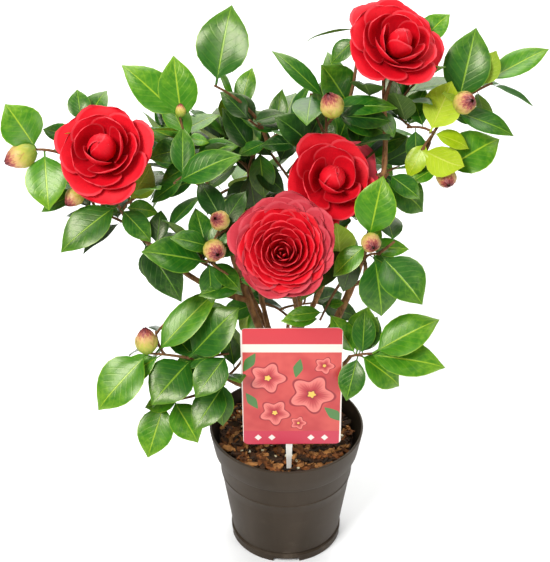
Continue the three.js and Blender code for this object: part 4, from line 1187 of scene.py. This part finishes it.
def deselect_all():
    for other in bpy.context.selected_objects:
        other.select_set(False)


def only(piece):
    """Makes one piece the only selected and the active one."""
    deselect_all()
    piece.select_set(True)
    bpy.context.view_layer.objects.active = piece


def edit(piece):
    only(piece)
    bpy.ops.object.mode_set(mode="EDIT")


def done():
    bpy.ops.object.mode_set(mode="OBJECT")


def start_piece(name, primitive, **settings):
    """A new primitive, alone selected, and named."""
    deselect_all()
    primitive(**settings)
    piece = bpy.context.object
    piece.name = piece.data.name = name
    return piece


def settle(location=True, rotation=True, scale=True):
    """Puts the active piece's place, turn and scale into its mesh."""
    bpy.ops.object.transform_apply(location=location, rotation=rotation, scale=scale)


def smooth_over(piece, degrees):
    only(piece)
    bpy.ops.object.shade_smooth_by_angle(angle=at_angle(degrees))


def apply_modifier(piece, kind, **settings):
    only(piece)
    modifier = piece.modifiers.new(kind.lower(), kind)
    for key, value in settings.items():
        setattr(modifier, key, value)
    bpy.ops.object.modifier_apply(modifier=modifier.name)


def roughen(piece, name, grain, strength, level):
    """Gives a piece's surface a cloudy relief."""
    relief = bpy.data.textures.get(name) or bpy.data.textures.new(name, "CLOUDS")
    relief.noise_scale = grain
    apply_modifier(piece, "DISPLACE", texture=relief, texture_coords="LOCAL", strength=strength,
                   mid_level=level)


def turn_profile(name, profile, sides):
    """A round piece: a ring of vertices, drawn up along its profile of radius and height, in
    millimetres, each new ring extruded from the last."""
    radius, height = profile[0]
    piece = start_piece(name, bpy.ops.mesh.primitive_circle_add, vertices=sides,
                        radius=radius * MM, fill_type="NGON", location=(0, 0, height * MM))
    settle()
    edit(piece)
    bpy.ops.mesh.select_all(action="SELECT")
    for next_radius, next_height in profile[1:]:
        bpy.ops.mesh.extrude_region_move(
            TRANSFORM_OT_translate={"value": (0, 0, (next_height - height) * MM)})
        ratio = next_radius / radius
        bpy.ops.transform.resize(value=(ratio, ratio, 1), center_override=(0, 0, 0))
        radius, height = next_radius, next_height
    bpy.ops.mesh.select_all(action="SELECT")
    bpy.ops.mesh.normals_make_consistent(inside=False)
    done()
    return piece


def build_pot(material):
    """The pot: a collar over a stepped wall, a faint ring, a grooved foot and drainage notches."""
    height, foot, rim, wall = POT["height"], POT["foot"], POT["rim"], POT["wall"]
    under = height - POT["collar"]

    def outside(z):
        """The taper from foot to rim."""
        return foot + (rim - foot) * z / height

    def stepped(z, proud=0.0):
        """The wall below the collar."""
        return outside(z) - POT["step"] + proud

    underside = [(foot - 11, POT["notch_height"]), (foot - 5, POT["notch_height"]), (foot - 4, 0.0),
                 (foot - 1.2, 0.0)]
    foot_ring = [(foot - 0.6, 0.5), (foot - 0.4, 8.0)]
    groove = [(stepped(9, -0.6), 9.2), (stepped(10.5, -0.6), 10.4), (stepped(12), 11.2)]
    lower_wall = [(stepped(z), z) for z in (30, 50, 68, 78)]
    ring = [(stepped(z, 0.5), z) for z in (78.8, 80.2)]
    upper_wall = [(stepped(81), 81), (stepped(under - 6), under - 6),
                  (stepped(under - 2, 0.2), under - 2)]
    collar = [(outside(under) - 1.2, under - 0.6), (outside(under) - 0.6, under + 0.6),
              (outside(under + 12) - 0.2, under + 12), (rim - 0.2, height - 2.4)]
    lip = [(rim, height - 1.2), (rim - 0.5, height - 0.2), (rim - 1.1, height),
           (rim - wall + 0.3, height - 0.1), (rim - wall, height - 0.8)]
    inside = [(outside(under) - wall - 1.0, under + 2), (stepped(under - 4, -wall), under - 4),
              (stepped(20, -wall), 20), (stepped(8, -wall), 8.2)]
    pot = turn_profile("pot_shell", underside + foot_ring + groove + lower_wall + ring + upper_wall
                       + collar + lip + inside, 96)
    cut_notches(pot)
    pot.data.materials.append(material)
    smooth_over(pot, 32)
    dress(pot, "pot")


def cut_notches(pot):
    """Takes drainage notches out of the foot with a Boolean."""
    reach = (POT["foot"] - 2.5) * MM
    for k in range(4):
        turn = k * math.pi / 2
        cutter = start_piece("notch", bpy.ops.mesh.primitive_cube_add, size=1,
                             location=(reach * math.sin(turn), -reach * math.cos(turn), 0),
                             rotation=(0, 0, turn))
        cutter.scale = (POT["notch_width"] * MM, POT["notch_depth"] * MM,
                        POT["notch_height"] * 2 * MM)
        settle()
        apply_modifier(cutter, "BEVEL", width=0.0015, segments=3)
        apply_modifier(pot, "BOOLEAN", operation="DIFFERENCE", solver="EXACT", object=cutter)
        bpy.data.objects.remove(cutter)


def trunk_radius(t):
    """A taper with a flare at the foot."""
    height = FORK[2] - SOIL_TOP
    flare = max(0.0, 1 - t * height / TRUNK["flare_height"]) ** 2
    return blend((TRUNK["radius"], TRUNK["top"]), t) * (1 + (TRUNK["flare"] - 1) * flare)


def knot(t):
    """Old leaf scars swell a bough a little, in a row along it."""
    return KNOT["swell"] * max(0.0, math.sin(t * KNOT["turns"])) ** KNOT["sharp"]


def build_limbs(limbs, material):
    """The trunk and boughs, each a swept limb with the bark's own relief."""
    for name, bend in limbs.items():
        radii = BOUGHS[name][4] if name in BOUGHS else None
        heap = Heap()
        heap.add_rings(bend.rings(lambda t: blend(radii, t) + knot(t) if radii else trunk_radius(t),
                                  12, max(10, round(bend.length() / 3))))
        piece = heap.piece("bark_" + name, [material])
        roughen(piece, "bark relief", grain=0.006, strength=0.0011, level=0.55)
        dress(piece, name)


def build_crown(masses, leaf_materials, twig_material, bud_material):
    """Each mass's leaves, its twigs and, where it bears them, its buds."""
    for number, mass in enumerate(masses):
        word = mass.name.removeprefix("mass_")
        sow(SEED + SOWN["leaves"] + number)
        leaves, twigs, buds = Heap("blade", "OFBake"), Heap(), Heap("petal", "OFBake")
        for leaf in mass.leaves:
            add_leaf(leaves, leaf)
        for twig in mass.twigs:
            reach = twig.length()
            twigs.add_rings(twig.rings(
                lambda t: (DRAWN_TWIG["tip"] + DRAWN_TWIG["growth"] * reach * (1 - t)
                           + DRAWN_TWIG["scars"] * knot(t)),
                DRAWN_TWIG["sides"], max(4, round(reach / DRAWN_TWIG["run"])),
                end=min(1.0, twig.used + DRAWN_TWIG["past_leaf"])))
        for bud in mass.buds:
            add_bud(buds, *bud)
        dress(leaves.piece("leaves_" + word, leaf_materials, 75), mass.name)
        dress(twigs.piece("twigs_" + word, [twig_material]), mass.name)
        if mass.buds:
            dress(buds.piece("buds_" + word, [bud_material]), mass.name)


def stem_radius(t):
    return STEM["radius"] + STEM["swell"] * max(0.0, t - STEM["swells_from"])


def build_blooms(limbs, petal_materials, twig_material):
    """Each bloom's petals, and the flowering twig that widens into its seat."""
    for number, (name, (bough, share, centre, radius, faces, form)) in enumerate(BLOOMS.items()):
        sow(SEED + SOWN["blooms"] + number)
        petals, stem = Heap("petal", "OFBake"), Heap()
        add_bloom(petals, centre, radius, faces, form)
        facing = hand_of_clock(*faces)
        seat = Vector(centre) - facing * (radius * STEM["seat"])
        start = limbs[bough].on_run(share)
        bend = Bend(start, seat - facing * ((seat - start).length * STEM["bow"]), seat)
        stem.add_rings(bend.rings(stem_radius, STEM["sides"], STEM["runs"]))
        dress(petals.piece("petals_" + name, petal_materials, 80), name)
        dress(stem.piece("stem_" + name, [twig_material]), name)


def build_compost(material, inside):
    """The bed of compost that the bark lies on."""
    bed = turn_profile("compost_bed", [(inside - 3, SOIL_TOP - 20), (inside, SOIL_TOP - 7),
                                       (inside * 0.8, SOIL_TOP - 6), (inside * 0.5, SOIL_TOP - 5),
                                       (inside * 0.1, SOIL_TOP - 4)], 64)
    apply_modifier(bed, "SUBSURF", levels=2, render_levels=2)
    roughen(bed, "compost relief", grain=0.008, strength=0.003, level=0.5)
    bed.data.materials.append(material)
    smooth_over(bed, 60)
    dress(bed, "soil")


def build_mulch(chip_materials, granule_material, inside):
    """A loose bed of bark chips, clear of the trunk, with a few pale granules."""
    sow(SEED + SOWN["mulch"])
    chips, granules = Heap(), Heap()
    for k in range(MULCH["chips"]):
        reach = (inside - 4) * math.sqrt((k + 0.5) / MULCH["chips"])
        turn = at_angle(k * GOLDEN)
        where = Vector((math.cos(turn) * reach, math.sin(turn) * reach,
                        SOIL_TOP - 4.5 + MULCH["crown"] * (1 - reach / inside) + draw(-1.4, 1.6)))
        if (where - Vector((TRUNK["lean"], 0, where.z))).length < MULCH["trunk_clear"]:
            continue
        length = blend((MULCH["short"], MULCH["long"]), draw(0, 1) ** 2)
        add_chip(chips, where, length, length * draw(0.3, 0.6), draw(0.7, 2), k % len(chip_materials))
    for _ in range(MULCH["granules"]):
        turn, reach = any_turn(), (inside - 8) * math.sqrt(draw(0.05, 1))
        where = Vector((math.cos(turn) * reach, math.sin(turn) * reach, SOIL_TOP - 2.4))
        add_chip(granules, where, draw(1.6, 3), draw(1.4, 2.6), draw(1.2, 2.2), 0)
    dress(chips.piece("bark_chips", chip_materials, 35), "soil")
    dress(granules.piece("granules", [granule_material], 50), "soil")


# A flake's outline, in shares of its length and width.
FLAKE = ((-0.5, -0.4), (0, -0.55), (0.5, -0.35), (0.55, 0.1), (0.4, 0.5), (0, 0.45), (-0.45, 0.5),
         (-0.6, 0))


def add_chip(heap, where, length, width, thick, slot):
    """A split flake of bark: a bent slab with uneven corners."""
    spin = (Quaternion(UP, any_turn()) @ Quaternion(ACROSS, draw(-0.5, 0.5))
            @ Quaternion(Vector((0, 1, 0)), draw(-0.45, 0.45)))

    def corner(x, y, z):
        return where + spin @ Vector((x * length * draw(0.8, 1.15), y * width * draw(0.75, 1.2),
                                      z * thick * draw(0.7, 1.2) + 0.12 * length * (x * x - 0.1)))

    heap.add_rings([[corner(x, y, z) for x, y in FLAKE] for z in (-0.5, 0.5)], slot)


def build_card(print_material, back_material):
    """The card, with its rounded corners, printed on its front."""
    width, height = LABEL["width"] * MM, LABEL["height"] * MM
    card = start_piece("card", bpy.ops.mesh.primitive_plane_add, size=1,
                       rotation=(math.pi / 2, 0, 0))
    card.scale = (width, height, 1)
    settle(location=False, rotation=False)
    edit(card)
    bpy.ops.mesh.select_all(action="SELECT")
    bpy.ops.mesh.bevel(offset=LABEL["corner"] * MM, segments=8, affect="VERTICES")
    done()
    card.location = (LABEL["x"] * MM, (LABEL["y"] - LABEL["thick"] / 2) * MM,
                     LABEL["foot"] * MM + height / 2)
    card.rotation_euler = (math.pi / 2, at_angle(-LABEL["roll"]), 0)
    only(card)
    settle()
    apply_modifier(card, "SOLIDIFY", thickness=CARD["thick"] * MM, offset=0)
    apply_modifier(card, "BEVEL", width=CARD["round"] * MM, segments=2, limit_method="ANGLE")
    card.data.materials.append(print_material)
    card.data.materials.append(back_material)
    for face in card.data.polygons:
        face.material_index = 0 if face.normal.y < -0.5 else 1
    smooth_over(card, 30)
    dress(card, "label_card")


def build_stake(material):
    """The stake behind the card: a strip with a sunk panel on each side and a pointed foot."""
    low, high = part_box("label_stake")
    middle = (LABEL["x"] + STAKE["off"]) * MM
    stake = start_piece("stake", bpy.ops.mesh.primitive_cube_add, size=1,
                        location=(middle, (low[1] + high[1]) / 2, (low[2] + high[2]) / 2))
    stake.scale = (STAKE["width"] * MM, high[1] - low[1], high[2] - low[2])
    settle(rotation=False)
    edit(stake)
    bpy.ops.mesh.select_all(action="DESELECT")
    bpy.ops.mesh.select_mode(type="FACE")
    done()
    for face in stake.data.polygons:
        face.select = face.normal.z < -0.5
    edit(stake)
    bpy.ops.transform.resize(value=(STAKE["point"], 1, 1), center_override=(middle, 0, 0))
    done()
    for face in stake.data.polygons:
        face.select = abs(face.normal.y) > 0.5
    edit(stake)
    bpy.ops.mesh.inset(thickness=STAKE["panel_rim"] * MM, depth=-STAKE["panel_depth"] * MM)
    done()
    apply_modifier(stake, "BEVEL", width=STAKE["round"] * MM, segments=2)
    stake.data.materials.append(material)
    smooth_over(stake, 35)
    dress(stake, "label_stake")


# ---- the studio ------------------------------------------------------------------------------

CAMERA = {"place": (-0.0111, -0.9292, 0.851), "pitch": 58.997, "lens": 76.52, "sensor": 36}
AIM = Vector((0, 0, 0.32))
AIR = 0.22

# Square lamps: the place, what the lamp looks at, its side and its power.
LAMPS = {
    "key": ((-1.1, -1.4, 1.9), AIM, 0.9, 62),
    "fill": ((1.7, -1.3, 1.2), AIM, 1.0, 16),
    "top": ((0.3, 0.6, 2.1), AIM, 1.2, 26),
    "far floor": ((0.0, 3.2, 2.4), Vector((0, 3.2, 0)), 3.6, 150),
}


def build_studio():
    floor = start_piece("studio_floor", bpy.ops.mesh.primitive_plane_add, size=12,
                        location=(0, 0, -0.0002))
    floor.data.materials.append(floor_finish())
    data = bpy.data.cameras.new("camera")
    data.lens, data.sensor_width = CAMERA["lens"], CAMERA["sensor"]
    camera = bpy.data.objects.new("camera", data)
    camera.location = CAMERA["place"]
    camera.rotation_euler = (at_angle(CAMERA["pitch"]), 0, 0)
    bpy.context.scene.collection.objects.link(camera)
    bpy.context.scene.camera = camera
    for name, (place, aim, size, power) in LAMPS.items():
        lamp = bpy.data.lights.new(name, "AREA")
        lamp.size, lamp.energy = size, power
        light = bpy.data.objects.new(name, lamp)
        light.location = place
        light.rotation_euler = (aim - Vector(place)).to_track_quat("-Z", "Y").to_euler()
        bpy.context.scene.collection.objects.link(light)
    world = bpy.data.worlds.new("studio air")
    world.use_nodes = True
    air = world.node_tree.nodes["Background"].inputs
    air["Color"].default_value = rgb(1, 1, 1)
    air["Strength"].default_value = AIR
    bpy.context.scene.world = world
    bpy.context.scene.view_settings.view_transform = "Standard"


# ---- making ----------------------------------------------------------------------------------

build_studio()
limbs = grow_limbs()
for node in ("pot", "soil", "label_card", "label_stake", *limbs, *BLOOMS):
    placed.append(node_obstacle(node))
masses = grow_crown(limbs)

twig_bark = bark_finish("twig bark", rgb(0.09, 0.035, 0.014), rgb(0.24, 0.11, 0.045),
                        rgb(0.09, 0.07, 0.022), 420.0)
leaf_materials = [leaf_finish(which, tone) for tone in range(TONES) for which in LEAF_SIDES]
petal_materials = [
    petal_finish("petal", rgb(0.44, 0.001, 0.007), rgb(0.64, 0.004, 0.014), rgb(0.78, 0.09, 0.11)),
    petal_finish("guard petal", rgb(0.4, 0.008, 0.022), rgb(0.5, 0.035, 0.052),
                 rgb(0.62, 0.1, 0.12)),
]
chip_materials = [
    chip_finish("dark chips", rgb(0.012, 0.006, 0.003), rgb(0.06, 0.022, 0.008)),
    chip_finish("red chips", rgb(0.07, 0.022, 0.006), rgb(0.3, 0.1, 0.026)),
    chip_finish("brown chips", rgb(0.03, 0.012, 0.005), rgb(0.15, 0.05, 0.015)),
    chip_finish("pale chips", rgb(0.12, 0.045, 0.012), rgb(0.46, 0.2, 0.06)),
    chip_finish("black chips", rgb(0.01, 0.006, 0.004), rgb(0.04, 0.018, 0.009)),
]
stake_plastic = stake_finish()

build_crown(masses, leaf_materials, twig_bark, bud_finish())
build_blooms(limbs, petal_materials, twig_bark)
build_limbs(limbs, bark_finish("bark", rgb(0.1, 0.042, 0.015), rgb(0.37, 0.18, 0.07),
                               rgb(0.14, 0.08, 0.034), 300.0))
build_pot(pot_finish())
bed_radius = POT["rim"] - POT["wall"] - POT["step"] - 2
build_compost(compost_finish(), bed_radius)
build_mulch(chip_materials, chip_finish("granule", rgb(0.5, 0.42, 0.2), rgb(0.75, 0.7, 0.55)),
            bed_radius)
build_card(card_finish(), stake_plastic)
build_stake(stake_plastic)
